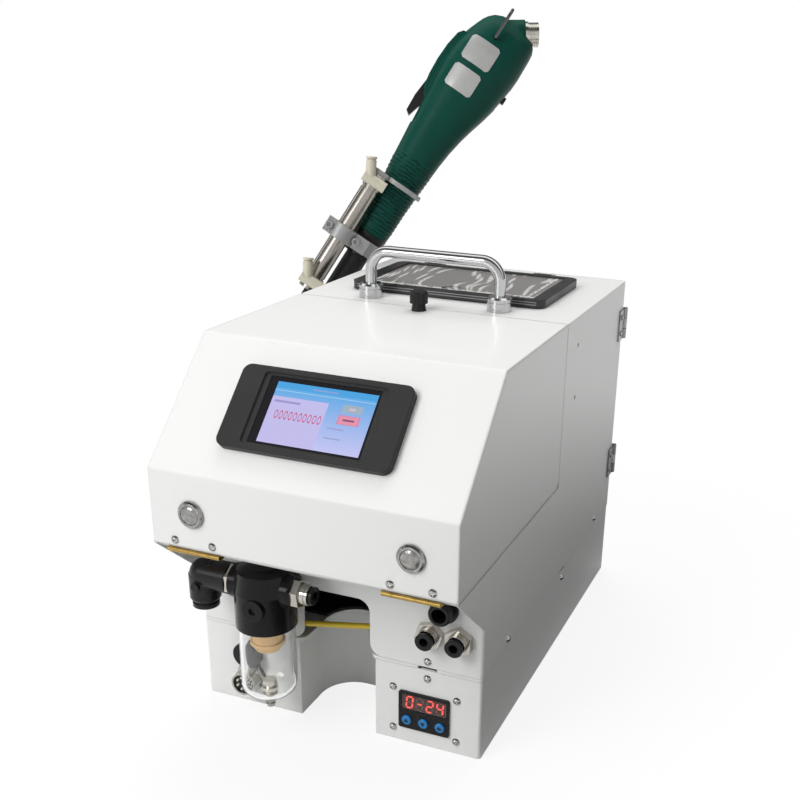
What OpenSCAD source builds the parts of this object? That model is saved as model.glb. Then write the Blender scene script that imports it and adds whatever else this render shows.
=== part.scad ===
// Automatic screw feeder: sheet-steel cabinet with a tilting hood, hopper lid, rear door,
// air filter and a hand-held driver parked in a holder on the left panel.
// Millimetres. X to the right, Y to the rear, Z up, origin on the floor at the base's centre.

/* [Cabinet] */
// outside width of the cabinet
body_w = 210; // [200:1:250]
// depth of the base from the front plate to the rear edge
base_d = 316; // [308:1:380]
// height of the roof above the floor
body_h = 261; // [255:1:290]
// how far the fascia stands in front of the front plate
overhang = 47; // [46:0.5:56]
// height of the base tray
base_h = 59; // [52:0.5:62]
// thickness of the deck plate with its joints
deck_t = 2.5; // [1.5:0.5:4]
// sheet thickness of base, shell, hood and door
sheet = 1.5; // [1:0.1:2]
// outside bend radius of the upright corners
edge_r = 2.4; // [2.2:0.1:4]
// height at which the slanted gussets leave the front plate
gusset_z = 98; // [92:1:104]
// height of the lower edge of the hood
hood_z = 139; // [136:0.5:144]
// height of the fold between fascia and slope
fold_z = 190; // [186:1:198]
// seam between hood and rear shell, from the front plate
seam_y = 151.5; // [148:0.5:160]
// gap round the hood
hood_gap = 0.6; // [0.4:0.1:1]

/* [Bay and arch] */
// width of the bay between the pedestals
bay_w = 57.4; // [52:0.2:60]
// depth of the bay
bay_d = 53.3; // [48:0.1:60]
// corner radius of the bay
bay_r = 25; // [16:0.5:25]
// width of the arch in the front plate
arch_w = 49.6; // [44:0.2:51]
// height of the top of the arch above the floor
arch_z = 101.5; // [96:0.5:106]
// corner radius of the arch
arch_r = 9; // [4:0.5:12]
// radius of the front plate's corners at the foot of the arch
foot_r = 9; // [4:0.5:10]

/* [Hood hinges and knob] */
// length of one brass hinge
hinge_l = 38.5; // [34:0.5:42]
// distance of each hinge's middle from the side of the cabinet
hinge_x = 30; // [27:0.5:34]
// radius of the hinge barrel
hinge_r = 1.7; // [1.5:0.05:1.7]
// radius of the hinge pin
hinge_pin_r = 0.8; // [0.6:0.05:0.9]
// thickness of the hinge leaf
leaf_t = 1.1; // [0.8:0.1:1.1]
// sideways place of the hood knob
knob_x = -4; // [-10:1:10]
// radius of the hood knob
knob_r = 6.5; // [6:0.5:9]
// radius of the knob's stud
stud_r = 2; // [1.5:0.1:2.5]

/* [Push buttons] */
// distance of each push button from the side of the cabinet
button_x = 30; // [24:0.5:36]
// height of the push buttons
button_z = 163.5; // [162:0.5:168]
// radius of the button bezel
bezel_r = 9.1; // [8.8:0.1:11]
// radius of the button cap
cap_r = 6.2; // [5:0.1:6.5]
// travel of the button cap
cap_travel = 2.2; // [1:0.1:3]

/* [Touch panel] */
// width of the touch panel bezel
hmi_w = 118; // [104:1:126]
// height of the touch panel bezel along the slope
hmi_h = 58; // [54:1:64]
// thickness of the bezel
hmi_t = 5; // [4:0.5:7]
// width of the screen
screen_w = 76; // [64:1:80]
// height of the screen
screen_h = 46.5; // [38:0.5:47]
// sideways place of the touch panel
hmi_x = -4; // [-8:1:4]
// depth of the touch panel housing behind the slope
hmi_depth = 24; // [16:1:30]

/* [Handle and lid] */
// distance between the handle's feet
handle_w = 102; // [90:1:120]
// height of the handle bar's centre above the roof
handle_h = 34.5; // [28:0.5:45]
// radius of the handle bar
handle_r = 4.2; // [3:0.1:5]
// radius of the ferrules
ferrule_r = 9; // [7:0.5:10]
// width of the hopper lid
lid_w = 156; // [140:1:164]
// depth of the hopper lid
lid_d = 94; // [88:1:100]
// thickness of the lid rim
lid_t = 6; // [5:0.5:8]
// radius of the lid's hinge pin
lid_pin_r = 1.5; // [1:0.1:1.8]

/* [Meter] */
// width of the meter frame
meter_w = 36.5; // [34:0.5:40]
// height of the meter frame
meter_h = 28.5; // [28:0.5:32]
// height of the meter's centre
meter_z = 25.8; // [25:0.2:28]
// radius of a meter key
key_r = 3.4; // [2.5:0.1:4]
// spacing of the meter keys
key_pitch = 12; // [10:0.5:12.5]
// travel of a meter key
key_travel = 0.8; // [0.4:0.1:1.2]

/* [Air fittings] */
// radius of the bore for the air tubes
tube_r = 3; // [2:0.1:3.2]
// radius of the release collets
collet_r = 5.2; // [4.8:0.1:5.6]
// running gap round collets, caps and keys
play = 0.15; // [0.1:0.05:0.3]
// spacing of the two bulkhead couplings
port_pitch = 20.4; // [19.5:0.1:22]
// radius of the bore for the screw tube
feed_r = 5; // [4:0.1:6]

/* [Filter] */
// sideways place of the filter
filter_x = -38.5; // [-42:0.5:-37]
// radius of the filter head
head_r = 20.3; // [19:0.1:20.6]
// radius of the clear bowl
bowl_r = 18.7; // [17:0.1:18.8]
// wall of the clear bowl
bowl_t = 2; // [1.5:0.1:2.5]
// radius of the bore in the inlet elbow
inlet_r = 4; // [3:0.1:4.2]
// travel of the drain valve
drain_travel = 2; // [1:0.1:2.5]

/* [Driver] */
// radius of the driver's head at its widest
driver_r = 31; // [29:0.5:32]
// radius of the pen cylinder
pen_r = 8; // [7:0.1:8.5]
// radius of the nozzle sleeve
nozzle_r = 10; // [8.5:0.1:10]
// radius of the driver bit
bit_r = 3; // [2:0.1:3.2]
// stroke of the nozzle
nozzle_travel = 16; // [8:0.5:16]

/* [Hidden] */
$fn = 64;
half = body_w / 2;
// floor of the shell and foot of the arch
shell_z = base_h + deck_t;
// the fixed side panels end below the hood's edge
rail_z = hood_z - hood_gap;
// the slope rises at 45 degrees
slope_a = 45;
fold_y = body_h - fold_z - overhang;
slope_l = (body_h - fold_z) * sqrt(2);
inset = sheet * (sqrt(2) - 1);
// narrow joints above and below the deck plate
joint_gap = 0.15;
// corner of the deck plate at the arch
deck_r = 5;
// middle of a pedestal
ped_x = (half + bay_w / 2) / 2;
join_x = ped_x - 0.5;
join_y = base_d * 0.557;
lug_y = [48, base_d - 46];
slot_w = 13.4;
// hinge axis of the hood
axis_y = -overhang + 0.1;
axis_z = hood_z - hinge_r - 0.3;
shelf_t = sheet;
shelf_z = axis_z - 0.5;
leaf_z = shelf_z - leaf_t - 0.05;
knuckles = 5;
seg = hinge_l / knuckles;
knuckle_gap = 0.2;
// screws
screw_r = 1.5;
head_h = 1.9;
head_r0 = 1.9 * screw_r;
dome_r = (head_r0 * head_r0 + head_h * head_h) / (2 * head_h) + 0.05;
screw_l = 5;
// places on the front
meter_x = ped_x - 2.3;
port_x = ped_x + 1.4;
port_z = shell_z + 25.5;
outlet_x = ped_x + 11;
outlet_z = port_z + 20.5;
socket_x = -ped_x - 1.2;
socket_z = 22;
// filter
filter_y = -overhang / 2 - 1;
filter_z = hood_z - 28;
bowl_top = filter_z - 27;
bowl_floor = bowl_top - 53;
port_face = 22;
// roof
handle_x = -3;
handle_y = seam_y + 16;
knob_y = seam_y - 9.5;
lid_x = -2;
lid_y = seam_y + 32.5;
lid_z = body_h + 0.4;
lid_axis_y = lid_y + lid_d + 3.6;
lid_axis_z = lid_z + lid_t / 2;
lid_ear = 48;
bin_x = lid_w / 2 - 20;
bin_y0 = lid_y + 12;
bin_y1 = lid_y + lid_d - 10;
// height of the bin's floor above the deck
bin_drop = 88;
// hopper blade
rod_r = 3;
// rear door
door_y = base_d + 0.4;
door_r = 2.4;
door_pin_r = 1.2;
door_axis_x = half + 0.6;
door_axis_y = door_y + sheet + door_r + 0.3;
door_hinge_l = 25.4;
door_hinge_z = [shell_z + 30.3, body_h - 48.3];
// pivot of the rocker
rocker_y = -1.8;
rocker_r = 1.1;
// driver
drive_at = [-half - 37.5, base_d - 26, body_h - 17.5];
drive_tilt = 33.9;
drive_turn = 36.8;
drive_spin = -14;
pen_x = -20.5;
pen_y = -16;
pen_gap = 6;
band_r = 19;
pen_end = 92;
nozzle_tip = -84;
yoke_s = -22 - nozzle_travel - 7;
cup_s = nozzle_tip - 0.3;
hole_y = 180;
hole_z = [body_h - 61, body_h - 21.5];
holder_t = 3;
arm_in = 48;
lever_at = [-25, 196];
plug_at = [4.4, 245.1];
plug_tilt = 55;
plug_seat = 18;
bail_s = 236;
// ribs of the grip: first and last one, pitch and height
rib_s = [56, 112];
rib_pitch = 4;
rib_h = 0.45;
switch_x = 2.4 + driver_r;

// piece to draw

// moves a piece drawn from the front plate into the shared frame
module in_place() {
    translate([0, -base_d / 2, 0]) children();
}

// extrudes a side view, drawn in Y and Z, along X
module slab(x, t) {
    translate([x, 0, 0]) rotate([90, 0, 90]) linear_extrude(t) children();
}

module rod_x(x, y, z, r, h) {
    translate([x, y, z]) rotate([0, 90, 0]) cylinder(r = r, h = h);
}

module rod_y(x, y, z, r, h) {
    translate([x, y, z]) rotate([-90, 0, 0]) cylinder(r = r, h = h);
}

module ring(r_out, r_in, h) {
    difference() {
        cylinder(r = r_out, h = h);
        translate([0, 0, -1]) cylinder(r = r_in, h = h + 2);
    }
}

// rounded rectangle, centred on X, from y = 0
module plan(w, d, r) {
    translate([-w / 2 + r, 0]) square([w - 2 * r, d]);
    translate([-w / 2, r]) square([w, d - 2 * r]);
    for (sx = [-1, 1], y = [r, d - r]) translate([sx * (w / 2 - r), y]) circle(r);
}

// rounded plate centred on the origin
module plate(w, d, r, t) {
    linear_extrude(t) translate([0, -d / 2]) plan(w, d, r);
}

// U-shaped bay open to the front, grown by g
module bay(w, d, r, g) {
    translate([-w / 2 - g, -20]) square([w + 2 * g, 20 + d - r]);
    translate([-w / 2 + r, -20]) square([w - 2 * r, 20 + d + g]);
    for (sx = [-1, 1]) translate([sx * (w / 2 - r), d - r]) circle(r + g);
}

// what a rounded corner leaves free: corner at (sx * x, y), material outwards and upwards
module corner(sx, x, y, r) {
    difference() {
        translate([sx > 0 ? x - 1 : -x - r, y - 1]) square([r + 1, r + 1]);
        translate([sx * (x + r), y + r]) circle(r);
        translate([sx > 0 ? x + r : -x - 2 * r, y - 2]) square([r, r + 4]);
    }
}

// pan-head screw, head outwards along +Z
module screw() {
    difference() {
        union() {
            intersection() {
                cylinder(r = head_r0, h = head_h);
                translate([0, 0, head_h - dome_r]) sphere(r = dome_r);
            }
            translate([0, 0, -screw_l]) cylinder(r = screw_r, h = screw_l + 0.1);
        }
        for (a = [0, 90]) rotate([0, 0, a])
            translate([-1.4, -0.3, head_h - 0.9]) cube([2.8, 0.6, 2]);
    }
}

// hexagon across flats
module hex(af, h) {
    cylinder(r = af / sqrt(3), h = h, $fn = 6);
}

// plane of the slope: X across, Y up the slope, Z outwards
module on_slope() {
    translate([0, -overhang, fold_z]) rotate([slope_a, 0, 0]) children();
}

// the driver's own axis: Z towards its head, X to the plug side
module on_driver() {
    translate(drive_at) rotate([0, drive_tilt, drive_turn]) rotate([0, 0, drive_spin]) children();
}

// all screw places on the front plane and on the sides
function front_joints() = [for (sx = [-1, 1], dz = [-6.2, deck_t + 4.3]) [sx * join_x, base_h + dz]];
function meter_corners() = [for (sx = [-1, 1], sz = [-1, 1]) [meter_x + sx * 23, meter_z - 0.8 + sz * 16]];

module base_tray() {
    color("white") in_place() {
        difference() {
            linear_extrude(base_h) difference() {
                plan(body_w, base_d, edge_r);
                bay(bay_w, bay_d, bay_r, 0);
            }
            translate([0, 0, sheet]) linear_extrude(base_h) difference() {
                translate([0, sheet]) plan(body_w - 2 * sheet, base_d - 2 * sheet, edge_r - sheet);
                bay(bay_w, bay_d, bay_r, sheet);
            }
            // meter window and screw holes
            translate([meter_x - meter_w / 2 + 1.2, -1, meter_z - meter_h / 2 + 1.2])
                cube([meter_w - 2.4, sheet + 2, meter_h - 2.4]);
            for (p = concat(meter_corners(), [front_joints()[0], front_joints()[2]]))
                rod_y(p[0], -1, p[1], screw_r + 0.1, sheet + 2);
            for (sx = [-1, 1])
                rod_x(sx * half - 5, join_y, base_h - 5, screw_r + 0.1, 10);
            // socket hole
            rod_y(socket_x, -1, socket_z, 7.6, sheet + 2);
            // mains inlet and rocker windows in the rear wall
            translate([ped_x - 14.2, base_d - sheet - 1, 18.8]) cube([28.4, sheet + 2, 20.4]);
            translate([ped_x - 44.2, base_d - sheet - 1, 19.8]) cube([20.4, sheet + 2, 14.4]);
            // drain and cable slots in the floor
            for (x = [-60:20:60]) translate([x - 2, base_d - 70, -1]) cube([4, 40, sheet + 2]);
        }
        // joining tabs that rise through the slots of the deck plate
        for (sx = [-1, 1]) {
            difference() {
                union() {
                    translate([sx * join_x - 5, sheet - 0.2, base_h - 14]) cube([10, 2, 14]);
                    translate([sx * join_x - 5, sheet + 0.3, base_h - 1]) cube([10, 1.5, deck_t + 10]);
                }
                for (p = front_joints()) rod_y(p[0], -1, p[1], screw_r + 0.1, 9);
            }
            difference() {
                union() {
                    translate([sx * (half - sheet - 0.8) - 1, join_y - 5, base_h - 14]) cube([2, 10, 14]);
                    translate([sx * (half - sheet - 1.05) - 0.75, join_y - 5, base_h - 1])
                        cube([1.5, 10, deck_t + 10]);
                }
                rod_x(sx * half - 8, join_y, base_h - 5, screw_r + 0.1, 16);
            }
        }
    }
}

module deck_plate() {
    color("white") in_place() {
        difference() {
            translate([0, 0, base_h + joint_gap]) linear_extrude(deck_t - 2 * joint_gap) difference() {
                plan(body_w, base_d, edge_r);
                for (sx = [-1, 1]) corner(sx, arch_w / 2, 0, deck_r);
                bay(arch_w, bay_d, bay_r - (bay_w - arch_w) / 2, 0);
                for (sx = [-1, 1]) {
                    translate([sx * join_x - slot_w / 2, -1]) square([slot_w, sheet + 5]);
                    translate([sx * half - sheet - 4, join_y - slot_w / 2]) square([2 * sheet + 8, slot_w]);
                }
                // cable hole
                translate([0, base_d - 60]) circle(14);
            }
        }
        // lugs for the side screws
        for (sx = [-1, 1], y = lug_y) difference() {
            translate([sx * (half - sheet - 1.05) - 0.75, y - 6, shell_z - 0.8]) cube([1.5, 12, 10.8]);
            rod_x(sx * half - 8, y, shell_z + 5.4, screw_r + 0.1, 16);
        }
    }
}

module deck_mat() {
    color("black") in_place() translate([0, 0, shell_z]) linear_extrude(2) difference() {
        translate([-half + 12, 34]) square([body_w - 24, seam_y - 40]);
        bay(arch_w, bay_d, bay_r - (bay_w - arch_w) / 2, 0.5);
    }
}

module upper_shell() {
    color("white") in_place() difference() {
        union() {
            // lower band with rounded corners
            translate([0, 0, shell_z]) linear_extrude(gusset_z - shell_z) difference() {
                plan(body_w, base_d + 10, edge_r);
                translate([0, sheet]) plan(body_w - 2 * sheet, base_d + 20, edge_r - sheet);
                translate([-half - 1, base_d]) square([body_w + 2, 20]);
            }
            // side panels with gussets
            for (x = [-half, half - sheet]) slab(x, sheet)
                polygon([[0.7, gusset_z - 0.1], [0, gusset_z], [-overhang, rail_z], [seam_y, rail_z],
                         [seam_y, body_h], [base_d, body_h], [base_d, gusset_z - 0.1]]);
            // front plate and shelf
            translate([-half + sheet / 2, 0, gusset_z - 0.1])
                cube([body_w - sheet, sheet, shelf_z - gusset_z + 0.2]);
            translate([-half + sheet / 2, axis_y + hinge_r + 1.5, shelf_z])
                cube([body_w - sheet, -axis_y - hinge_r - 1.5 + sheet, shelf_t]);
            // rear half of the roof
            translate([-half + sheet / 2, seam_y, body_h - sheet])
                cube([body_w - sheet, base_d - seam_y, sheet]);
            // strip that the hood rests on
            translate([-half + sheet + 3, seam_y - 22, body_h - 2 * sheet - 0.3])
                cube([body_w - 2 * sheet - 6, 36, sheet]);
            translate([-half + sheet + 3, seam_y, body_h - 2 * sheet - 0.3])
                cube([body_w - 2 * sheet - 6, 14, sheet + 0.4]);
        }
        // arch
        translate([-arch_w / 2, -1, shell_z - 1]) cube([arch_w, sheet + 2, arch_z - arch_r - shell_z + 1]);
        translate([-arch_w / 2 + arch_r, -1, shell_z])
            cube([arch_w - 2 * arch_r, sheet + 2, arch_z - shell_z]);
        for (sx = [-1, 1]) {
            rod_y(sx * (arch_w / 2 - arch_r), -1, arch_z - arch_r, arch_r, sheet + 2);
            translate([0, sheet + 1, 0]) rotate([90, 0, 0]) linear_extrude(sheet + 2)
                corner(sx, arch_w / 2, shell_z, foot_r);
        }
        // notch for the stud of the knob, open to the front
        translate([knob_x - stud_r - 2, seam_y - 30, body_h - 2 * sheet - 2])
            cube([2 * stud_r + 4, 30 - 9.5 + stud_r + 2, sheet + 2]);
        // coupling holes
        for (i = [0, 1]) rod_y(port_x + i * port_pitch, -1, port_z, 6.1, sheet + 2);
        rod_y(outlet_x, -1, outlet_z, 7.1, sheet + 2);
        // joining screws
        for (i = [1, 3]) rod_y(front_joints()[i][0], -1, front_joints()[i][1], screw_r + 0.1, sheet + 2);
        for (sx = [-1, 1], y = lug_y) rod_x(sx * half - 4, y, shell_z + 5.4, screw_r + 0.1, 8);
        // holder holes on both sides
        for (sx = [-1, 1], z = hole_z) rod_x(sx * half - 4, hole_y, z, screw_r + 0.1, 8);
        // hopper mouth
        translate([lid_x - bin_x, bin_y0, body_h - sheet - 1]) cube([2 * bin_x, bin_y1 - bin_y0, sheet + 2]);
        // foot holes of the handle
        for (sx = [-1, 1]) translate([handle_x + sx * handle_w / 2, handle_y, body_h - 2 * sheet - 2])
            cylinder(r = 2.8, h = 2 * sheet + 4);
    }
}

module panel_screws() {
    color("silver") in_place() {
        for (p = concat(front_joints(), meter_corners()))
            translate([p[0], 0, p[1]]) rotate([90, 0, 0]) screw();
        for (sx = [-1, 1]) {
            translate([sx * half, join_y, base_h - 5]) rotate([0, sx * 90, 0]) screw();
            for (y = lug_y) translate([sx * half, y, shell_z + 5.4]) rotate([0, sx * 90, 0]) screw();
        }
    }
}

module carry_handle() {
    bend = 14;
    color("silver") in_place() translate([handle_x, handle_y, body_h]) {
        for (sx = [-1, 1]) translate([sx * handle_w / 2, 0, 0]) {
            // ferrule with a turned groove, stud below
            difference() {
                union() {
                    cylinder(r = ferrule_r, h = 9);
                    translate([0, 0, 9]) cylinder(r1 = ferrule_r, r2 = ferrule_r - 1.5, h = 1.5);
                    translate([0, 0, -4]) cylinder(r = 2.5, h = 5);
                }
                translate([0, 0, 6.5]) ring(ferrule_r + 1, ferrule_r - 0.5, 0.8);
            }
            translate([0, 0, 9]) cylinder(r = handle_r, h = handle_h - bend - 9);
        }
        translate([-handle_w / 2 + bend, 0, handle_h]) rotate([0, 90, 0])
            cylinder(r = handle_r, h = handle_w - 2 * bend);
        translate([handle_w / 2 - bend, 0, handle_h - bend]) rotate([90, 0, 0])
            rotate_extrude(angle = 90) translate([bend, 0]) circle(handle_r);
        translate([-handle_w / 2 + bend, 0, handle_h - bend]) rotate([90, 0, 0]) rotate([0, 0, 90])
            rotate_extrude(angle = 90) translate([bend, 0]) circle(handle_r);
    }
}

module hood_shell() {
    rear = seam_y - hood_gap;
    outer = [[-overhang, hood_z], [-overhang, fold_z], [fold_y, body_h], [rear, body_h]];
    color("white") in_place() difference() {
        union() {
            // fascia, slope and roof from one sheet
            slab(-half + sheet / 2, body_w - sheet) polygon(concat(outer, [[rear, body_h - sheet],
                [fold_y + inset, body_h - sheet], [-overhang + sheet, fold_z - inset],
                [-overhang + sheet, hood_z]]));
            // cheeks
            for (x = [-half, half - sheet]) slab(x, sheet)
                polygon(concat(outer, [[rear, hood_z + 5], [rear - 4, hood_z]]));
        }
        // touch panel window
        on_slope() translate([hmi_x - hmi_w / 2 + 5.5, slope_l / 2 - hmi_h / 2 + 4.5, -10])
            cube([hmi_w - 11, hmi_h - 9, 20]);
        // button holes
        for (sx = [-1, 1]) rod_y(sx * (half - button_x), -overhang - 1, button_z, bezel_r - 1, sheet + 2);
        // hinge screws
        for (sx = [-1, 1], s2 = [-1, 1])
            rod_y(sx * (half - hinge_x) + s2 * hinge_l * 0.357, -overhang - 1, hood_z + 4.8,
                screw_r + 0.1, sheet + 2);
        // knob hole
        translate([knob_x, knob_y, body_h - sheet - 1]) cylinder(r = stud_r + 0.5, h = sheet + 2);
    }
}

module hood_hinge_upper() {
    leaf_y = -overhang + sheet + 0.05;
    color("gold") in_place() for (sx = [-1, 1])
        translate([sx * (half - hinge_x) - hinge_l / 2, 0, 0]) difference() {
        union() {
            translate([0, leaf_y, hood_z]) cube([hinge_l, leaf_t, 12]);
            for (i = [1, 3]) translate([i * seg + knuckle_gap / 2, 0, 0]) {
                rod_x(0, axis_y, axis_z, hinge_r, seg - knuckle_gap);
                translate([0, axis_y + hinge_r - 0.6, axis_z])
                    cube([seg - knuckle_gap, leaf_y + leaf_t - axis_y - hinge_r + 0.6, hinge_r]);
                translate([0, leaf_y, axis_z]) cube([seg - knuckle_gap, leaf_t, hinge_r + 1]);
            }
        }
        rod_x(-1, axis_y, axis_z, hinge_pin_r + 0.05, hinge_l + 2);
        for (s2 = [-1, 1])
            rod_y(hinge_l / 2 + s2 * hinge_l * 0.357, -overhang - 1, hood_z + 4.8, screw_r + 0.1, 6);
    }
}

module hood_hinge_lower() {
    color("gold") in_place() for (sx = [-1, 1]) translate([sx * (half - hinge_x) - hinge_l / 2, 0, 0]) {
        translate([0, axis_y + hinge_r + 0.3, leaf_z]) cube([hinge_l, 11, leaf_t]);
        for (i = [0, 2, 4]) translate([i * seg + knuckle_gap / 2, 0, 0]) {
            rod_x(0, axis_y, axis_z, hinge_r, seg - knuckle_gap);
            translate([0, axis_y, leaf_z]) cube([seg - knuckle_gap, hinge_r + 0.4, leaf_t]);
        }
        rod_x(knuckle_gap / 2, axis_y, axis_z, hinge_pin_r, hinge_l - knuckle_gap);
    }
}

module hood_hinge_screws() {
    color("silver") in_place() for (sx = [-1, 1], s2 = [-1, 1])
        translate([sx * (half - hinge_x) + s2 * hinge_l * 0.357, -overhang, hood_z + 4.8])
            rotate([90, 0, 0]) screw();
}

module hmi_bezel() {
    color("dimgray") in_place() on_slope() translate([hmi_x, slope_l / 2, 0]) difference() {
        union() {
            plate(hmi_w, hmi_h, 6, hmi_t);
            // housing behind the slope
            translate([-hmi_w / 2 + 6, -hmi_h / 2 + 5, -hmi_depth])
                cube([hmi_w - 12, hmi_h - 10, hmi_depth + 1]);
        }
        // stepped recess round the screen
        translate([0, 0, hmi_t - 1.2]) plate(screen_w + 9, screen_h + 4, 3, 5);
        translate([0, 0, hmi_t - 3.6]) plate(screen_w + 0.4, screen_h + 0.4, 1, 5);
    }
}

module hmi_screen() {
    color("lightblue") in_place() on_slope() translate([hmi_x, slope_l / 2, hmi_t - 3.6])
        plate(screen_w, screen_h, 0.8, 2);
}

module hood_knob() {
    color("black") in_place() translate([knob_x, knob_y, body_h]) {
        difference() {
            union() {
                cylinder(r1 = knob_r - 1, r2 = knob_r - 2, h = 5.5);
                translate([0, 0, 5.4]) cylinder(r = knob_r, h = 7.6);
                translate([0, 0, 13]) cylinder(r1 = knob_r, r2 = knob_r - 1, h = 1);
            }
            // grip flutes
            for (a = [0:30:330]) rotate([0, 0, a]) translate([knob_r + 0.5, 0, 5]) cylinder(r = 1.1, h = 12);
        }
        translate([0, 0, -sheet - 5]) cylinder(r = stud_r, h = sheet + 6);
    }
}

module button_bezels() {
    color("silver") in_place() for (sx = [-1, 1]) translate([sx * (half - button_x), -overhang, button_z])
        rotate([90, 0, 0]) difference() {
            union() {
                cylinder(r = bezel_r, h = 1.4);
                translate([0, 0, 1.4]) cylinder(r1 = bezel_r, r2 = bezel_r - 1.2, h = 1.2);
                translate([0, 0, -24]) cylinder(r = bezel_r - 1.1, h = 24.5);
                translate([0, 0, -sheet - 4.2]) hex(2 * bezel_r + 2, 4.2);
                // terminals
                for (x = [-3, 3]) translate([x - 0.4, -1.5, -30]) cube([0.8, 3, 8]);
            }
            translate([0, 0, -8]) cylinder(r = cap_r + play, h = 20);
        }
}

module button_cap(sx) {
    color("gainsboro") in_place()
        translate([sx * (half - button_x), -overhang, button_z]) rotate([90, 0, 0]) {
        translate([0, 0, -4]) cylinder(r = cap_r, h = 6.4);
        translate([0, 0, 2.4]) cylinder(r1 = cap_r, r2 = cap_r - 1.6, h = 0.8);
    }
}

module left_button() {
    button_cap(-1);
}

module right_button() {
    button_cap(1);
}

module lid_panel() {
    color("gray") in_place() translate([lid_x, lid_y + lid_d / 2, lid_z + 2.4]) difference() {
        plate(lid_w - 20, lid_d - 11, 3, 2.4);
        // finger hollow
        translate([0, -lid_d / 2 + 16, 1.6]) cylinder(r = 8, h = 3);
    }
}

module lid_rim() {
    color("black") in_place() difference() {
        union() {
            translate([lid_x, lid_y + lid_d / 2, lid_z]) difference() {
                plate(lid_w, lid_d, 8, lid_t);
                translate([0, 0, -1]) plate(lid_w - 26, lid_d - 17, 3, lid_t + 2);
                translate([0, 0, 2.3]) plate(lid_w - 19.6, lid_d - 10.6, 3.2, lid_t);
                // groove along the front rail
                translate([-lid_w / 2 + 14, -lid_d / 2 + 2, lid_t - 0.6]) cube([lid_w - 28, 1.2, 2]);
            }
            // ears of the hinge
            for (sx = [-1, 1]) translate([lid_x + sx * lid_ear - 6, 0, 0]) {
                rod_x(0, lid_axis_y, lid_axis_z, lid_t / 2, 12);
                translate([0, lid_y + lid_d - 1, lid_z])
                    cube([12, lid_axis_y - lid_y - lid_d + 1, lid_t / 2]);
            }
        }
        rod_x(-half, lid_axis_y, lid_axis_z, lid_pin_r + 0.05, body_w);
    }
}

module lid_hinges() {
    color("silver") in_place() for (sx = [-1, 1]) translate([lid_x + sx * lid_ear, lid_axis_y, 0]) {
        for (x = [-9.3, 6.3]) translate([x, 0, 0]) difference() {
            union() {
                rod_x(0, 0, lid_axis_z, lid_t / 2, 3);
                translate([0, -lid_t / 2, body_h]) cube([3, lid_t, lid_axis_z - body_h]);
                translate([0, 0, body_h]) cube([3, 12, 1.5]);
            }
        }
        translate([-9.3, lid_t / 2 + 1.2, body_h]) cube([18.6, 12 - lid_t / 2 - 1.2, 1.5]);
        rod_x(-9.3, 0, lid_axis_z, lid_pin_r, 18.6);
    }
}

module meter_frame() {
    color("black") in_place() translate([meter_x, 0, meter_z]) difference() {
        union() {
            rotate([90, 0, 0]) plate(meter_w, meter_h, 1.5, 1.6);
            translate([-meter_w / 2 + 1.5, -0.1, -meter_h / 2 + 1.5]) cube([meter_w - 3, 13, meter_h - 3]);
            // back plate and posts that take the corner screws
            translate([-26, 11, -20]) cube([52, 2, 38]);
            for (p = meter_corners()) rod_y(p[0] - meter_x, sheet, p[1] - meter_z, 3, 10);
        }
        // display window
        translate([-16, -3, 0.6]) cube([32, 3.6, 11.4]);
        // key wells
        for (i = [-1, 0, 1]) rod_y(i * key_pitch, -3, -7.4, key_r + play, 7);
        // screw bores
        for (p = meter_corners()) rod_y(p[0] - meter_x, 0, p[1] - meter_z, screw_r + 0.1, 9);
    }
}

module meter_window() {
    color("darkred") in_place() translate([meter_x - 15.8, -0.9, meter_z + 0.8]) cube([31.6, 1.5, 11]);
}

module meter_key(i) {
    color("royalblue") in_place() translate([meter_x + i * key_pitch, 0, meter_z - 7.4]) rotate([90, 0, 0]) {
        translate([0, 0, -2]) cylinder(r = key_r, h = 4.6);
        translate([0, 0, 2.6]) cylinder(r1 = key_r, r2 = key_r - 0.7, h = 0.5);
    }
}

module meter_key_left() {
    meter_key(-1);
}

module meter_key_middle() {
    meter_key(0);
}

module meter_key_right() {
    meter_key(1);
}

module bulkhead_bodies() {
    color("silver") in_place() for (i = [0, 1]) translate([port_x + i * port_pitch, 0, port_z])
        rotate([90, 0, 0]) difference() {
            union() {
                // nut outside, thread through the plate, nut and body inside
                rotate([0, 0, 12 + 18 * i]) hex(17.5, 5);
                translate([0, 0, 4]) cylinder(r = 6.9, h = 5);
                translate([0, 0, -sheet - 0.2]) cylinder(r = 6, h = sheet + 1);
                translate([0, 0, -sheet - 5]) hex(17, 5);
                translate([0, 0, -sheet - 16]) cylinder(r = 6.5, h = 12);
            }
            // thread
            for (z = [5.5, 6.6, 7.7]) translate([0, 0, z]) ring(8, 6.5, 0.5);
            translate([0, 0, -20]) cylinder(r = tube_r + 0.1, h = 40);
            translate([0, 0, 3]) cylinder(r = collet_r + play, h = 10);
        }
}

// flanged release collet, pressed in along -Z
module collet(r_in) {
    ring(collet_r, r_in, 5);
    translate([0, 0, 5]) ring(collet_r + 0.9, r_in, 1.6);
}

module bulkhead_collet(i) {
    color("black") in_place() translate([port_x + i * port_pitch, -5.4, port_z]) rotate([90, 0, 0])
        collet(tube_r);
}

module bulkhead_collet_left() {
    bulkhead_collet(0);
}

module bulkhead_collet_right() {
    bulkhead_collet(1);
}

module outlet_fitting() {
    color("black") in_place() translate([outlet_x, 0, outlet_z]) rotate([90, 0, 0]) difference() {
        union() {
            cylinder(r = 9.6, h = 2);
            translate([0, 0, 2]) cylinder(r = 7.6, h = 8);
            translate([0, 0, 10]) cylinder(r1 = 7.6, r2 = 6.8, h = 0.8);
            translate([0, 0, -sheet - 10]) cylinder(r = 7, h = sheet + 11);
            translate([0, 0, -sheet - 4]) hex(18, 4);
        }
        translate([0, 0, -30]) cylinder(r = feed_r, h = 60);
    }
}

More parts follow.
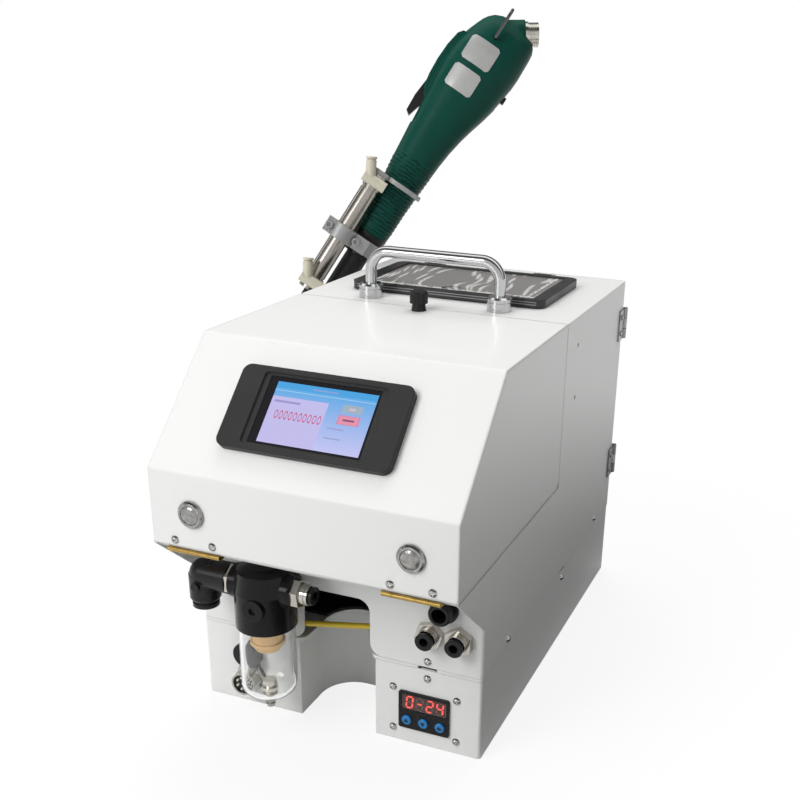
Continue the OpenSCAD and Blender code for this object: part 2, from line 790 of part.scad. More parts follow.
module socket_shell() {
    color("silver") in_place() translate([socket_x, 0, socket_z]) rotate([90, 0, 0]) difference() {
        union() {
            translate([0, 0, 2.2]) hex(19.5, 3);
            translate([0, 0, -12]) cylinder(r = 7.5, h = 18);
            translate([0, 0, 5]) cylinder(r = 8.4, h = 9);
            translate([0, 0, -sheet - 3]) cylinder(r = 10, h = 3);
        }
        // thread grooves
        for (z = [6.6, 8.2, 9.8, 11.4]) translate([0, 0, z]) ring(10, 8, 0.7);
        translate([0, 0, 3]) cylinder(r = 7.1, h = 20);
    }
}

module socket_insert() {
    color("black") in_place() translate([socket_x, 0, socket_z]) rotate([90, 0, 0]) {
        translate([0, 0, 3]) cylinder(r = 7, h = 8.6);
        // pins: seven in a ring, one in the middle
        for (a = [0:360 / 7:350]) rotate([0, 0, a]) translate([4.6, 0, 11]) cylinder(r = 0.75, h = 2.4);
        translate([0, 0, 11]) cylinder(r = 0.75, h = 2.4);
    }
}

module socket_cap() {
    color("black") in_place() translate([socket_x, 0, socket_z]) rotate([90, 0, 0]) {
        difference() {
            union() {
                translate([0, 0, 0.2]) cylinder(r = 10.8, h = 1.8);
                // strap, thickened where it meets the cap
                translate([-5, 0, 0.2]) cube([11, 14, 1.8]);
                translate([-4, 12.5, 0.2]) cube([9, 4, 3]);
                translate([0.5, 20.5, 2.2]) cylinder(r = 9.4, h = 7);
            }
            translate([0, 0, -1]) cylinder(r = 7.6, h = 5);
            // mouth of the cap, turned to the panel
            translate([0.5, 20.5, 3.2]) cylinder(r = 7.9, h = 4.4);
        }
    }
}

module filter_head() {
    color("black") in_place() translate([filter_x, filter_y, 0]) difference() {
        union() {
            translate([0, 0, bowl_top]) cylinder(r = head_r, h = 26);
            translate([0, 0, bowl_top + 26]) cylinder(r1 = head_r, r2 = head_r - 2.5, h = 14);
            translate([0, 0, bowl_top + 40]) cylinder(r1 = head_r - 2.5, r2 = 11, h = 3);
            rod_x(-port_face, 0, filter_z, 11.5, 2 * port_face);
            // front plug
            rod_y(3, -head_r - 1.2, filter_z - 8, 7.5, 8);
            // mounting pad against the front plate
            translate([-12, 0, bowl_top + 16]) cube([24, -filter_y, 24]);
        }
        // bowl thread, bores of the two ports
        translate([0, 0, bowl_top - 1]) cylinder(r = bowl_r - bowl_t + 0.4, h = 13);
        rod_x(-port_face - 1, 0, filter_z, 6.6, 14);
        rod_x(port_face - 13, 0, filter_z, 6.6, 14);
        rod_x(-10, 0, filter_z, 3, 20);
        translate([0, 0, bowl_top + 5]) cylinder(r = 4, h = filter_z - bowl_top - 5);
        // socket in the plug
        rod_y(3, -head_r - 2, filter_z - 8, 2.6, 2.4);
    }
}

module filter_bowl() {
    neck = bowl_r - bowl_t + 0.2;
    color("lightcyan") in_place() translate([filter_x, filter_y, 0]) rotate_extrude() difference() {
        union() {
            translate([0, bowl_floor + 9]) square([bowl_r, bowl_top - bowl_floor - 9]);
            translate([0, bowl_floor]) square([bowl_r - 9, 10]);
            translate([bowl_r - 9, bowl_floor + 9]) circle(9);
            translate([0, bowl_top - 1]) square([neck, 11]);
        }
        translate([-50, bowl_floor - 5]) square([50, 100]);
        translate([0, bowl_floor + 9]) square([bowl_r - bowl_t, bowl_top - bowl_floor - 10]);
        translate([0, bowl_floor + bowl_t]) square([bowl_r - 9, 10]);
        translate([bowl_r - 9, bowl_floor + 9]) circle(9 - bowl_t);
        translate([0, bowl_top - 2]) square([neck - 1.5, 20]);
        // bore of the drain valve
        translate([0, bowl_floor - 5]) square([2.5, 20]);
    }
}

module filter_core() {
    color("tan") in_place() translate([filter_x, filter_y, 0]) {
        translate([0, 0, bowl_top - 12]) cylinder(r = 10, h = 24);
        translate([0, 0, bowl_top - 14]) cylinder(r = 11.5, h = 2.2);
        translate([0, 0, bowl_top - 19]) cylinder(r1 = 8, r2 = 11.5, h = 5.2);
    }
}

module drain_valve() {
    lift = drain_travel + 0.3;
    color("silver") in_place() translate([filter_x, filter_y, bowl_floor]) difference() {
        union() {
            translate([0, 0, bowl_t + 0.3]) cylinder(r = 5.2, h = 2.4);
            translate([0, 0, bowl_t + 2.6]) cylinder(r = 3.6, h = 2.4);
            translate([0, 0, bowl_t + 5]) cylinder(r1 = 5, r2 = 4.4, h = 2.6);
            translate([0, 0, -lift - 1]) cylinder(r = 2.4, h = lift + bowl_t + 2);
            translate([0, 0, -lift - 2]) cylinder(r = 5, h = 2);
            // barbed nipple
            for (i = [0:2]) translate([0, 0, -lift - 4.2 - i * 2.4]) cylinder(r1 = 2.6, r2 = 3.5, h = 2.4);
        }
        translate([0, 0, -30]) cylinder(r = 1.2, h = 30);
    }
}

module filter_ports() {
    color("silver") in_place() translate([filter_x, filter_y, filter_z]) {
        // outlet coupling
        rotate([0, 90, 0]) difference() {
            union() {
                translate([0, 0, port_face - 8]) cylinder(r = 6.5, h = 9);
                translate([0, 0, port_face]) rotate([0, 0, 10]) hex(17, 6);
                translate([0, 0, port_face + 6]) cylinder(r = 6.6, h = 2);
                translate([0, 0, port_face + 7]) cylinder(r = 7.4, h = 2.6);
                translate([0, 0, port_face + 9.6]) cylinder(r = 6.8, h = 2.2);
            }
            translate([0, 0, port_face - 20]) cylinder(r = tube_r + 0.1, h = 60);
            translate([0, 0, port_face + 5]) cylinder(r = collet_r + play, h = 20);
        }
        // stud and sealing washer that the elbow turns on
        rotate([0, -90, 0]) difference() {
            union() {
                translate([0, 0, port_face - 8]) cylinder(r = 6.5, h = 9);
                translate([0, 0, port_face]) hex(19, 3);
                translate([0, 0, port_face + 2]) cylinder(r = 5, h = 9);
            }
            translate([0, 0, port_face - 20]) cylinder(r = 2.6, h = 60);
        }
    }
}

module outlet_collet() {
    color("black") in_place() translate([filter_x + port_face + 8, filter_y, filter_z]) rotate([0, 90, 0])
        collet(tube_r);
}

module inlet_elbow() {
    arm = 21;
    color("black") in_place() translate([filter_x - port_face - 3.3, filter_y, filter_z]) difference() {
        union() {
            rotate([0, -90, 0]) {
                cylinder(r = 10.6, h = 20);
                translate([0, 0, 20]) sphere(r = 10.6);
            }
            translate([-arm, 0, -17]) cylinder(r = 10.4, h = 17);
            translate([-arm, 0, -19]) cylinder(r1 = 9, r2 = 10.4, h = 2);
            translate([-arm, 0, -20.4]) cylinder(r = 8.2, h = 2);
            translate([-arm, 0, -23.4]) cylinder(r = 9, h = 3);
            rod_y(-arm, -12.2, -6, 3, 8);
        }
        // turning bore and tube bore
        rotate([0, -90, 0]) translate([0, 0, -1]) cylinder(r = 5.06, h = 10);
        translate([-arm, 0, -30]) cylinder(r = inlet_r, h = 28);
        rotate([0, -90, 0]) cylinder(r = 2.6, h = arm);
    }
}

// thin tube that crosses the arch behind the front plate
tube_a = atan2(23, 71);
module cross_tube() {
    color("gold") in_place() translate([-33, sheet + 2.7, shell_z + 8.5]) rotate([0, 0, tube_a])
        rotate([0, 90, 0]) cylinder(r = 2, h = 76);
}

module tube_clips() {
    color("black") in_place() difference() {
        union() {
            translate([-40, sheet, shell_z]) cube([10, 5.5, 12]);
            translate([32, sheet + 20.5, shell_z]) cube([11, 10, 12.5]);
        }
        translate([-33, sheet + 2.7, shell_z + 8.5]) rotate([0, 0, tube_a]) rotate([0, 90, 0])
            cylinder(r = 2.02, h = 77);
    }
}

module rear_door() {
    color("white") in_place() difference() {
        union() {
            translate([-half, door_y, shell_z]) cube([body_w - 2.5, sheet, body_h - shell_z]);
            // finger lip on the opening side
            translate([-half, door_y, (body_h + shell_z) / 2 - 25]) cube([sheet, 9, 50]);
            // knuckles
            for (z = door_hinge_z) translate([0, 0, z]) {
                translate([door_axis_x, door_axis_y, 8.6]) cylinder(r = door_r, h = 8.2);
                translate([half - 20, door_y, 8.6]) cube([17.6, sheet + 1.6, 8.2]);
                translate([half - 4, door_y + sheet + 0.6, 8.6]) cube([4.6, 1, 8.2]);
            }
        }
        for (z = door_hinge_z) translate([door_axis_x, door_axis_y, z - 1])
            cylinder(r = door_pin_r + 0.05, h = 40);
        // cooling slots
        for (i = [0:6]) translate([-30, door_y - 1, shell_z + 24 + i * 8]) cube([60, sheet + 2, 3]);
    }
}

module door_hinges() {
    color("silver") in_place() for (z = door_hinge_z) translate([0, 0, z]) {
        // leaf on the side panel, wrapped round the rear edge
        translate([half, base_d - 12, 0]) cube([1.2, 12, door_hinge_l]);
        for (dz = [0, 17.2]) {
            translate([door_axis_x, door_axis_y, dz]) cylinder(r = door_r, h = 8.2);
            translate([half, base_d - 0.1, dz]) cube([1.2, door_axis_y - base_d + 0.1, 8.2]);
        }
        translate([door_axis_x, door_axis_y, 0]) cylinder(r = door_pin_r, h = door_hinge_l);
        for (dz = [6, 19.4]) translate([half + 1.2, base_d - 6.5, dz]) rotate([0, 90, 0])
            cylinder(r1 = 2.4, r2 = 1.8, h = 0.9);
    }
}

module mains_inlet() {
    color("black") in_place() translate([ped_x, base_d, 29]) rotate([-90, 0, 0]) {
        // contact blades
        for (p = [[-7, 3], [0, -3], [7, 3]]) translate([p[0] - 1, p[1] - 2, -16]) cube([2, 4, 11]);
        difference() {
            union() {
                plate(48, 22.5, 4, 2.2);
                translate([-14, -10, -24]) cube([28, 20, 25]);
                // rocker housing beside the inlet
                translate([-34, 2, 0]) plate(22.4, 17, 2, 2);
                translate([-44, -5, -14]) cube([20, 14, 15]);
            }
            translate([-12.2, -8.2, -15]) cube([24.4, 16.4, 20]);
            for (sx = [-1, 1]) translate([sx * 20, 0, -5]) cylinder(r = 1.7, h = 12);
            translate([-42.6, -3.6, -10]) cube([17.2, 11.2, 20]);
            // bearing of the rocker
            translate([-34, -4.4, rocker_y - 1.2]) rotate([-90, 0, 0])
                cylinder(r = rocker_r + 0.05, h = 12.8);
        }
    }
}

module power_rocker() {
    color("crimson") in_place() translate([ped_x - 34, base_d - 1.2, 27]) {
        difference() {
            rotate([-90, 0, 0]) translate([0, 0, -5]) plate(15.6, 10.4, 0.5, 7);
            // dished face
            translate([0, 16.5, -10]) cylinder(r = 15, h = 20);
        }
        // pivot
        translate([0, rocker_y, -6.2]) cylinder(r = rocker_r, h = 12.4);
    }
}

module hopper_bin() {
    t = 1.2;
    y0 = bin_y0 + 0.4;
    y1 = bin_y1 - 0.4;
    top = body_h - sheet;
    low = shell_z + bin_drop;
    outer = [[y0, low], [y0 + 16, low], [y1, low + 50], [y1, top], [y0, top]];
    inner = [[y0 + t, low + t], [y0 + 15.5, low + t], [y1 - t, low + 50.5], [y1 - t, top + 1],
             [y0 + t, top + 1]];
    color("silver") in_place() difference() {
        union() {
            slab(lid_x - bin_x + 0.4, 2 * bin_x - 0.8) polygon(outer);
            // legs down to the deck
            for (sx = [-1, 1]) translate([lid_x + sx * (bin_x - 8) - 4, y0 + 2, shell_z])
                cube([8, 10, low - shell_z + 1]);
            // air cylinder of the blade, flanged to the floor of the bin
            translate([lid_x, y0 + 5, shell_z + 4]) cylinder(r = 9, h = low - shell_z - 3.5);
        }
        slab(lid_x - bin_x + 0.4 + t, 2 * bin_x - 0.8 - 2 * t) polygon(inner);
        // rod hole and rail gap
        translate([lid_x, y0 + 5, shell_z + 8]) cylinder(r = rod_r + 0.06, h = low - shell_z);
        translate([lid_x, y0 + 5, shell_z + 8]) cylinder(r = 6.2, h = low - shell_z - 14);
        translate([lid_x - 8, y0 - 1, top - 24]) cube([16, t + 2, 17]);
    }
}

module lift_blade() {
    low = shell_z + bin_drop;
    y0 = bin_y0 + 0.4;
    color("silver") in_place() {
        // blade with a slanted top edge, rod below
        translate([lid_x - 30, y0 + 3, low + 2]) rotate([90, 0, 0]) translate([0, 0, -4])
            linear_extrude(4) polygon([[0, 0], [60, 0], [60, 34], [0, 40]]);
        translate([lid_x, y0 + 5, shell_z + 11]) cylinder(r = rod_r, h = low - shell_z - 8);
        translate([lid_x, y0 + 5, shell_z + 9]) cylinder(r = 6, h = 4);
    }
}

module feed_rail() {
    y0 = bin_y0;
    top = body_h - sheet - 14;
    color("silver") in_place() difference() {
        union() {
            // track, inclined to the front
            translate([lid_x, y0 - 4, top]) rotate([6, 0, 0]) translate([-6, -98, -10]) cube([12, 98, 14]);
            // column and foot
            translate([lid_x - 9, y0 - 62, shell_z + 2]) cube([18, 20, top - shell_z - 16]);
            translate([lid_x - 22, y0 - 72, shell_z + 2]) cube([44, 40, 5]);
            // escapement block at the front end of the track
            translate([lid_x - 16, y0 - 118, top - 32]) cube([32, 24, 26]);
        }
        // groove the screws hang in
        translate([lid_x, y0 - 4, top]) rotate([6, 0, 0]) translate([-1.2, -120, -4]) cube([2.4, 140, 12]);
        // shuttle channel and drop hole
        translate([lid_x - 17, y0 - 111.15, top - 20.15]) cube([34, 10.3, 8.3]);
        translate([lid_x - 6, y0 - 106, top - 40]) cylinder(r = 3, h = 22);
    }
}

module shuttle() {
    y0 = bin_y0;
    top = body_h - sheet - 14;
    color("silver") in_place() difference() {
        translate([lid_x - 24, y0 - 111, top - 20]) cube([48, 10, 8]);
        translate([lid_x + 6, y0 - 106, top - 24]) cylinder(r = 2.4, h = 16);
    }
}

// sections of the driver's body: place along the axis, left side, right side, half depth
function driver_sections() = [[47, -14.6, 15, 14.8], [53, -15.3, 15.4, 15.3], [75, -16, 15.6, 15.9],
    [92, -17.2, 16.4, 16.9], [112, -19.6, 17.6, 18.8], [127, -20.8, 18.6, 19.8], [140, -22, 20, 20.6],
    [154, -23, 22.4, 21.8], [166, -24.4, 25.4, 23.2], [178, -26, 28.8, 25], [190, -27, 31.6, 26.6],
    [202, -27.6, 33.4, 27.6], [212, -27.2, 34.6, 27.8], [222, -25.6, 35, 27], [232, -22.6, 34.6, 25],
    [240, -19.6, 34.3, 22.4], [246, -17, 33.6, 20], [250, -14.4, 31.6, 17.2], [254, -10.5, 27.4, 13],
    [257, -4.5, 21, 7]];

// the head grows with its own radius, the grip keeps its size
function head_share(s) = 1 + (driver_r / 31 - 1) * min(1, max(0, (s - 150) / 40));
function bent(v, n) = sign(v) * pow(abs(v), 2 / n);
function driver_ring(p, n, m) = [for (i = [0:m - 1]) let (a = 360 * i / m, k = head_share(p[0]))
    [k * ((p[1] + p[2]) / 2 + (p[2] - p[1]) / 2 * bent(cos(a), n)), k * p[3] * bent(sin(a), n), p[0]]];

// a section at any place along the axis, made larger by a little
function driver_row(s, more) = [s, for (i = [1:3])
    lookup(s, [for (p = driver_sections()) [p[0], p[i]]]) + (i == 1 ? -more : more)];

// all rows of the body: the sections, and three rows for each rib of the grip
function driver_rows() = concat(
    [for (p = driver_sections()) if (p[0] < rib_s[0] - 2) p],
    [for (s = [rib_s[0]:rib_pitch:rib_s[1]])
        each [driver_row(s - 1.3, 0), driver_row(s, rib_h), driver_row(s + 1.3, 0)]],
    [for (p = driver_sections()) if (p[0] > rib_s[1] + 2) p]);

// smooth body through all rows
module driver_form(m) {
    rows = driver_rows();
    count = len(rows);
    polyhedron(
        points = [for (p = rows) each driver_ring(p, 2.2, m)],
        faces = concat([[for (i = [0:m - 1]) i]], [[for (i = [0:m - 1]) count * m - 1 - i]],
            [for (j = [0:count - 2], i = [0:m - 1]) let (k = (i + 1) % m)
                [j * m + i, (j + 1) * m + i, j * m + k]],
            [for (j = [0:count - 2], i = [0:m - 1]) let (k = (i + 1) % m)
                [j * m + k, (j + 1) * m + i, (j + 1) * m + k]]));
}

// axis of the plug
module on_plug() {
    translate([plug_at[0], 0, plug_at[1]]) rotate([0, plug_tilt, 0]) children();
}

module driver_body() {
    color("darkgreen") in_place() on_driver() {
        difference() {
            union() {
                driver_form(36);
                // housing of the lever
                slab_y(-10, 20) polygon([[-16, 160], [-24, 166], [-28.6, 174], [-30.2, 184], [-30.9, 198],
                                         [-30.2, 212], [-28, 224], [-25, 228], [-16, 230]]);
                // neck of the plug
                on_plug() cylinder(r = 12, h = plug_seat);
            }
            // clearance round the pen cylinder
            translate([pen_x, pen_y, 20]) cylinder(r = pen_r + 0.8, h = pen_end - 19);
            // bore of the nose and of the bit
            translate([0, 0, 40]) cylinder(r = nozzle_r + 0.5, h = 16);
            translate([0, 0, 40]) cylinder(r = bit_r + 0.08, h = 30);
            // lever slot, switch slot
            translate([-driver_r - 6, -6.3, 144]) cube([driver_r - 13.5, 12.6, 62]);
            translate([switch_x - 6.4, -4.3, 192]) cube([12, 8.6, 20]);
            // pivot holes of the bail
            rod_y(0, -60, bail_s, 1.43, 120);
            // seat of the plug and room for its ring
            on_plug() translate([0, 0, plug_seat - 8]) cylinder(r = 8.6, h = 10);
            on_plug() translate([0, 0, plug_seat]) cylinder(r = 11, h = 20);
        }
        // lever pin
        rod_y(lever_at[0], -8, lever_at[1], 1.55, 16);
    }
}

module driver_collar() {
    color("black") in_place() on_driver() difference() {
        union() {
            translate([0, 0, 41.2]) cylinder(r1 = 14.4, r2 = 15.4, h = 5.8);
            translate([0, 0, 25]) cylinder(r = 13, h = 17);
        }
        translate([0, 0, 20]) cylinder(r = nozzle_r + 0.3, h = 40);
    }
}

module driver_lever() {
    color("black") in_place() on_driver() difference() {
        slab_y(-6, 12) polygon([[-30.4, 150], [-26.2, 147], [-22.6, 160], [-21.4, 202], [-26.5, 202],
                                [-29.4, 180], [-31, 164]]);
        rod_y(lever_at[0], -10, lever_at[1], 1.6, 20);
    }
}

// extrudes a view drawn in X and Z along Y
module slab_y(y, t) {
    translate([0, y + t, 0]) rotate([90, 0, 0]) linear_extrude(t) children();
}

module driver_switch() {
    color("black") in_place() on_driver() {
        translate([switch_x - 6, -4, 198]) cube([3.4, 8, 8]);
        translate([switch_x - 2.8, -3, 199]) cube([4.8, 6, 6]);
    }
}

module driver_bail() {
    leg = 27;
    wire = 1.35;
    bend = 8;
    color("silver") in_place() on_driver() translate([0, 0, bail_s]) {
        for (sy = [-1, 1]) {
            translate([0, sy * leg, 0]) cylinder(r = wire, h = 26 - bend);
            rod_y(0, sy > 0 ? 20 : -leg, 0, wire, leg - 20);
            translate([0, sy * leg, 0]) sphere(r = wire);
        }
        rod_y(0, -leg + bend, 26, wire, 2 * leg - 2 * bend);
        translate([0, leg - bend, 26 - bend]) rotate([0, 90, 0]) rotate([0, 0, 90])
            rotate_extrude(angle = 90) translate([bend, 0]) circle(wire, $fn = 24);
        translate([0, -leg + bend, 26 - bend]) rotate([0, 90, 0]) rotate([0, 0, 180])
            rotate_extrude(angle = 90) translate([bend, 0]) circle(wire, $fn = 24);
    }
}

module driver_plug() {
    color("silver") in_place() on_driver() on_plug() translate([0, 0, plug_seat]) difference() {
        union() {
            translate([0, 0, -7.8]) cylinder(r = 8.5, h = 9);
            cylinder(r = 10.6, h = 2.6);
            translate([0, 0, 2.4]) cylinder(r = 9.8, h = 9);
        }
        // thread
        for (z = [4, 5.6, 7.2, 8.8]) translate([0, 0, z]) ring(12, 9.4, 0.8);
        difference() {
            translate([0, 0, 3.5]) cylinder(r = 8.2, h = 10);
            for (a = [0:72:300]) rotate([0, 0, a]) translate([4.8, 0, 0]) cylinder(r = 0.8, h = 9);
        }
    }
}

module driver_clamp() {
    color("gray") in_place() on_driver() difference() {
        union() {
            translate([0, 0, 28]) cylinder(r = 17.6, h = 13);
            translate([pen_x, pen_y, 28]) cylinder(r = 13, h = 13);
            translate([-30, -22, 28]) cube([34, 22, 13]);
            // ears with the clamping screws
            translate([-37, -20, 28]) cube([10, 12, 13]);
            for (p = [[-33.5, 34.5], [-7, 34.5]]) rod_y(p[0], -26.4, p[1], 3.4, 6);
        }
        translate([0, 0, 20]) cylinder(r = 13.02, h = 40);
        translate([pen_x, pen_y, 20]) cylinder(r = pen_r + 0.02, h = 40);
        for (p = [[-33.5, 34.5], [-7, 34.5]]) translate([p[0], -27, p[1]]) rotate([-90, 0, 0]) hex(3.2, 3);
    }
    // upper bracket: ring on the end of the cylinder, band against the grip
    color("gray") in_place() on_driver() translate([0, 0, pen_end]) linear_extrude(4) difference() {
        union() {
            translate([pen_x, pen_y]) circle(pen_r + 2);
            intersection() {
                circle(band_r + 4);
                translate([pen_x - 2, -40]) square([24 - pen_x, 28]);
            }
        }
        circle(band_r);
    }
}

module pen_cylinder() {
    color("silver") in_place() on_driver() translate([pen_x, pen_y, 0]) difference() {
        union() {
            translate([0, 0, -20]) cylinder(r = pen_r, h = 111);
            // rolled end joints
            for (s = [-22, pen_end - 13]) translate([0, 0, s]) cylinder(r = pen_r + 0.5, h = 13);
        }
        for (s = [-9.5, 77]) translate([0, 0, s]) ring(pen_r + 2, pen_r - 0.6, 1.2);
        translate([0, 0, -10]) cylinder(r = pen_r - 1.6, h = 84);
        translate([0, 0, -30]) cylinder(r = 2.6, h = 30);
        // ports of the fittings
        for (s = [-14, 85]) rod_y(0, -30, s, 2.6, 26);
    }
}

module cylinder_fittings() {
    color("ivory") in_place() on_driver() translate([pen_x, pen_y, 0]) for (s = [-14, 85])
        translate([0, -pen_r, s]) {
            rod_y(0, -6, 0, 2.5, 10);
            rod_x(-10.5, -pen_gap, 0, 4.6, 21);
            translate([-4, -pen_gap, 0]) rotate([0, -29, 0]) difference() {
                union() {
                    cylinder(r = 4.4, h = 15);
                    translate([0, 0, 15]) cylinder(r = 3.6, h = 1.2);
                    translate([0, 0, 16]) cylinder(r = 4.6, h = 1.8);
                }
                translate([0, 0, 8]) cylinder(r = 2, h = 20);
            }
        }
}

module driver_bit() {
    color("silver") in_place() on_driver() {
        translate([0, 0, 10]) cylinder(r = bit_r, h = 59);
        translate([0, 0, nozzle_tip + 8]) cylinder(r = bit_r - 0.8, h = 4 - nozzle_tip);
        translate([0, 0, nozzle_tip + 4]) cylinder(r1 = 1, r2 = bit_r - 0.8, h = 4.02);
    }
}

module nozzle_sleeve() {
    bore = bit_r + 0.4;
    color("black") in_place() on_driver() {
        rotate_extrude() polygon([[bore, nozzle_tip], [5.5, nozzle_tip], [nozzle_r, nozzle_tip + 8],
                                  [nozzle_r, 33], [bore, 33]]);
        // yoke round the sleeve
        translate([0, 0, yoke_s]) linear_extrude(6) difference() {
            union() {
                circle(nozzle_r + 3);
                translate([pen_x, pen_y]) circle(6);
                rotate(atan2(pen_y, pen_x)) translate([0, -5]) square([norm([pen_x, pen_y]), 10]);
            }
            circle(bore + 2);
        }
        // piston and rod
        translate([pen_x, pen_y, yoke_s + 3]) cylinder(r = 2.5, h = -yoke_s - 5);
        translate([pen_x, pen_y, -6]) cylinder(r = pen_r - 1.7, h = 6);
    }
}

module driver_holder() {
    arm_y = base_d - arm_in;
    cup_r = nozzle_r + 2.6;
    color("dimgray") in_place() difference() {
        union() {
            // plate on the side panel
            translate([-half - holder_t, hole_y - 14, hole_z[0] - 14])
                cube([holder_t, arm_y - hole_y + 14, hole_z[1] - hole_z[0] + 26]);
            // arm to the cup
            translate([drive_at[0] - 42, arm_y - holder_t, body_h - 91])
                cube([-half - drive_at[0] + 42, holder_t, 30]);
            // cup in line with the driver
            on_driver() translate([0, 0, cup_s - 3]) cylinder(r = cup_r, h = 36);
            for (z = hole_z) translate([-half - holder_t, hole_y, z]) rotate([0, -90, 0]) screw_head();
        }
        on_driver() translate([0, 0, cup_s]) cylinder(r = nozzle_r + 0.4, h = 60);
        on_driver() translate([0, 0, cup_s - 10]) cylinder(r = 4, h = 20);
    }
}

module screw_head() {
    cylinder(r1 = 3.4, r2 = 2.6, h = 2);
}

base_tray();
deck_plate();
deck_mat();
upper_shell();
panel_screws();
carry_handle();
hood_shell();
hood_hinge_upper();
hood_hinge_lower();
hood_hinge_screws();
hmi_bezel();
hmi_screen();
hood_knob();
button_bezels();
left_button();
right_button();
lid_panel();
lid_rim();
lid_hinges();
meter_frame();
meter_window();
meter_key_left();
meter_key_middle();
meter_key_right();
bulkhead_bodies();
bulkhead_collet_left();
bulkhead_collet_right();
outlet_fitting();
socket_shell();
socket_insert();
socket_cap();
filter_head();
filter_bowl();
filter_core();
drain_valve();
inlet_elbow();
filter_ports();
outlet_collet();
cross_tube();
tube_clips();
rear_door();
door_hinges();
mains_inlet();
power_rocker();
hopper_bin();
lift_blade();
feed_rail();
shuttle();
driver_body();
driver_collar();
driver_lever();
driver_switch();
driver_bail();
driver_plug();
driver_clamp();
pen_cylinder();
cylinder_fittings();
driver_bit();
nozzle_sleeve();
driver_holder();
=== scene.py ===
import math
import bpy
import bmesh
from mathutils import Matrix, Vector
from mathutils.bvhtree import BVHTree


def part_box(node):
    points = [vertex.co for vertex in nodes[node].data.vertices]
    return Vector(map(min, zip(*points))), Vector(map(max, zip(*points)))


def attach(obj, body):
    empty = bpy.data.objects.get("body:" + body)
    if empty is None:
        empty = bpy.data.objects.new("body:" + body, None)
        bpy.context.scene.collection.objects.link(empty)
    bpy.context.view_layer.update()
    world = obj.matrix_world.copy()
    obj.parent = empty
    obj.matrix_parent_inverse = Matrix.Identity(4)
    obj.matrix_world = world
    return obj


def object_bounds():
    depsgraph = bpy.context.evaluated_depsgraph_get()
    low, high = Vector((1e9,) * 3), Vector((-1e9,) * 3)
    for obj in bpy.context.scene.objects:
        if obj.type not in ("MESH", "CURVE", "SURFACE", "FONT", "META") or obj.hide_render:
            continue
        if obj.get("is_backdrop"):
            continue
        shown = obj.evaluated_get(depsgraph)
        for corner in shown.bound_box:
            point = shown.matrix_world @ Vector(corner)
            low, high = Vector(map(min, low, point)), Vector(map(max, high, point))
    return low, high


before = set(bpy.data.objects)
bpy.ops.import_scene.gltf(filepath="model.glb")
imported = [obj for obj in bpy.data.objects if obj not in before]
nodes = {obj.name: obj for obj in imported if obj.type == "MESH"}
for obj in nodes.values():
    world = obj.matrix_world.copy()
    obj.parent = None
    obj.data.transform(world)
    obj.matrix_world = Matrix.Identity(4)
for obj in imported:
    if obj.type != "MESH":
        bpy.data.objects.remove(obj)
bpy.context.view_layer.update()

scene = bpy.context.scene
scene.view_settings.view_transform = "Standard"

# The studio: white paper on the floor, a soft key lamp high in front on the left, a large lamp overhead
# at the rear, a small lamp for glints, and a dim sky that leaves the right side in shade.
# The camera stands a little to the right and looks down on the cabinet.
yaw, pitch, roll = (math.radians(a) for a in (21.07, 22.95, 1.47))
eye = Vector((0.3024, -0.7194, 0.4388))
ahead = Vector((-math.sin(yaw) * math.cos(pitch), math.cos(yaw) * math.cos(pitch), -math.sin(pitch)))
across = Vector((math.cos(yaw), math.sin(yaw), 0))
above = across.cross(ahead)
right = math.cos(roll) * across + math.sin(roll) * above
up = math.cos(roll) * above - math.sin(roll) * across
camera = bpy.data.objects.new("camera", bpy.data.cameras.new("camera"))
camera.data.sensor_width = 36
camera.data.lens = 48.69
camera.data.shift_x = -0.075
camera.data.shift_y = 0.125
camera.matrix_world = Matrix((
    (right.x, up.x, -ahead.x, eye.x),
    (right.y, up.y, -ahead.y, eye.y),
    (right.z, up.z, -ahead.z, eye.z),
    (0, 0, 0, 1)))
scene.collection.objects.link(camera)
scene.camera = camera

# bright metal mirrors the sky and the small lamp, not the two large ones
for name, place, aim, size, power, mirrored in (
        ("front_lamp", (-0.76, -1.40, 1.56), (0, 0, 0.12), 1.1, 21.4, False),
        ("glint_lamp", (-0.72, -1.62, 0.91), (0, 0, 0.12), 0.6, 5.5, True),
        ("top_lamp", (-0.15, 0.95, 1.85), (0, 0, 0.25), 1.6, 28.5, False)):
    lamp = bpy.data.objects.new(name, bpy.data.lights.new(name, "AREA"))
    lamp.data.size = size
    lamp.data.energy = power
    lamp.location = place
    lamp.rotation_mode = "QUATERNION"
    lamp.rotation_quaternion = (Vector(aim) - Vector(place)).to_track_quat("-Z", "Y")
    lamp.visible_glossy = mirrored
    scene.collection.objects.link(lamp)


def calc(operation, *values):
    """One step of arithmetic in the node tree that is being built."""
    step = tree.nodes.new("ShaderNodeMath")
    step.operation = operation
    for socket, value in zip(step.inputs, values):
        if isinstance(value, (int, float)):
            socket.default_value = value
        else:
            tree.links.new(value, socket)
    return step.outputs[0]


def ramp(value, start, end, low=0.0, high=1.0):
    """Runs from low to high while a value goes from start to end."""
    step = tree.nodes.new("ShaderNodeMapRange")
    for socket, number in (("From Min", start), ("From Max", end), ("To Min", low), ("To Max", high)):
        step.inputs[socket].default_value = number
    tree.links.new(value, step.inputs["Value"])
    return step.outputs["Result"]


def greys(value, first, *stops):
    """A grey that follows a value from 0 to 1: the first grey at 0, then places with their greys."""
    step = tree.nodes.new("ShaderNodeValToRGB")
    elements = step.color_ramp.elements
    elements.remove(elements[1])
    elements[0].color = (first, first, first, 1)
    for at, grey in stops:
        elements.new(at).color = (grey, grey, grey, 1)
    tree.links.new(value, step.inputs["Fac"])
    return step.outputs["Color"]


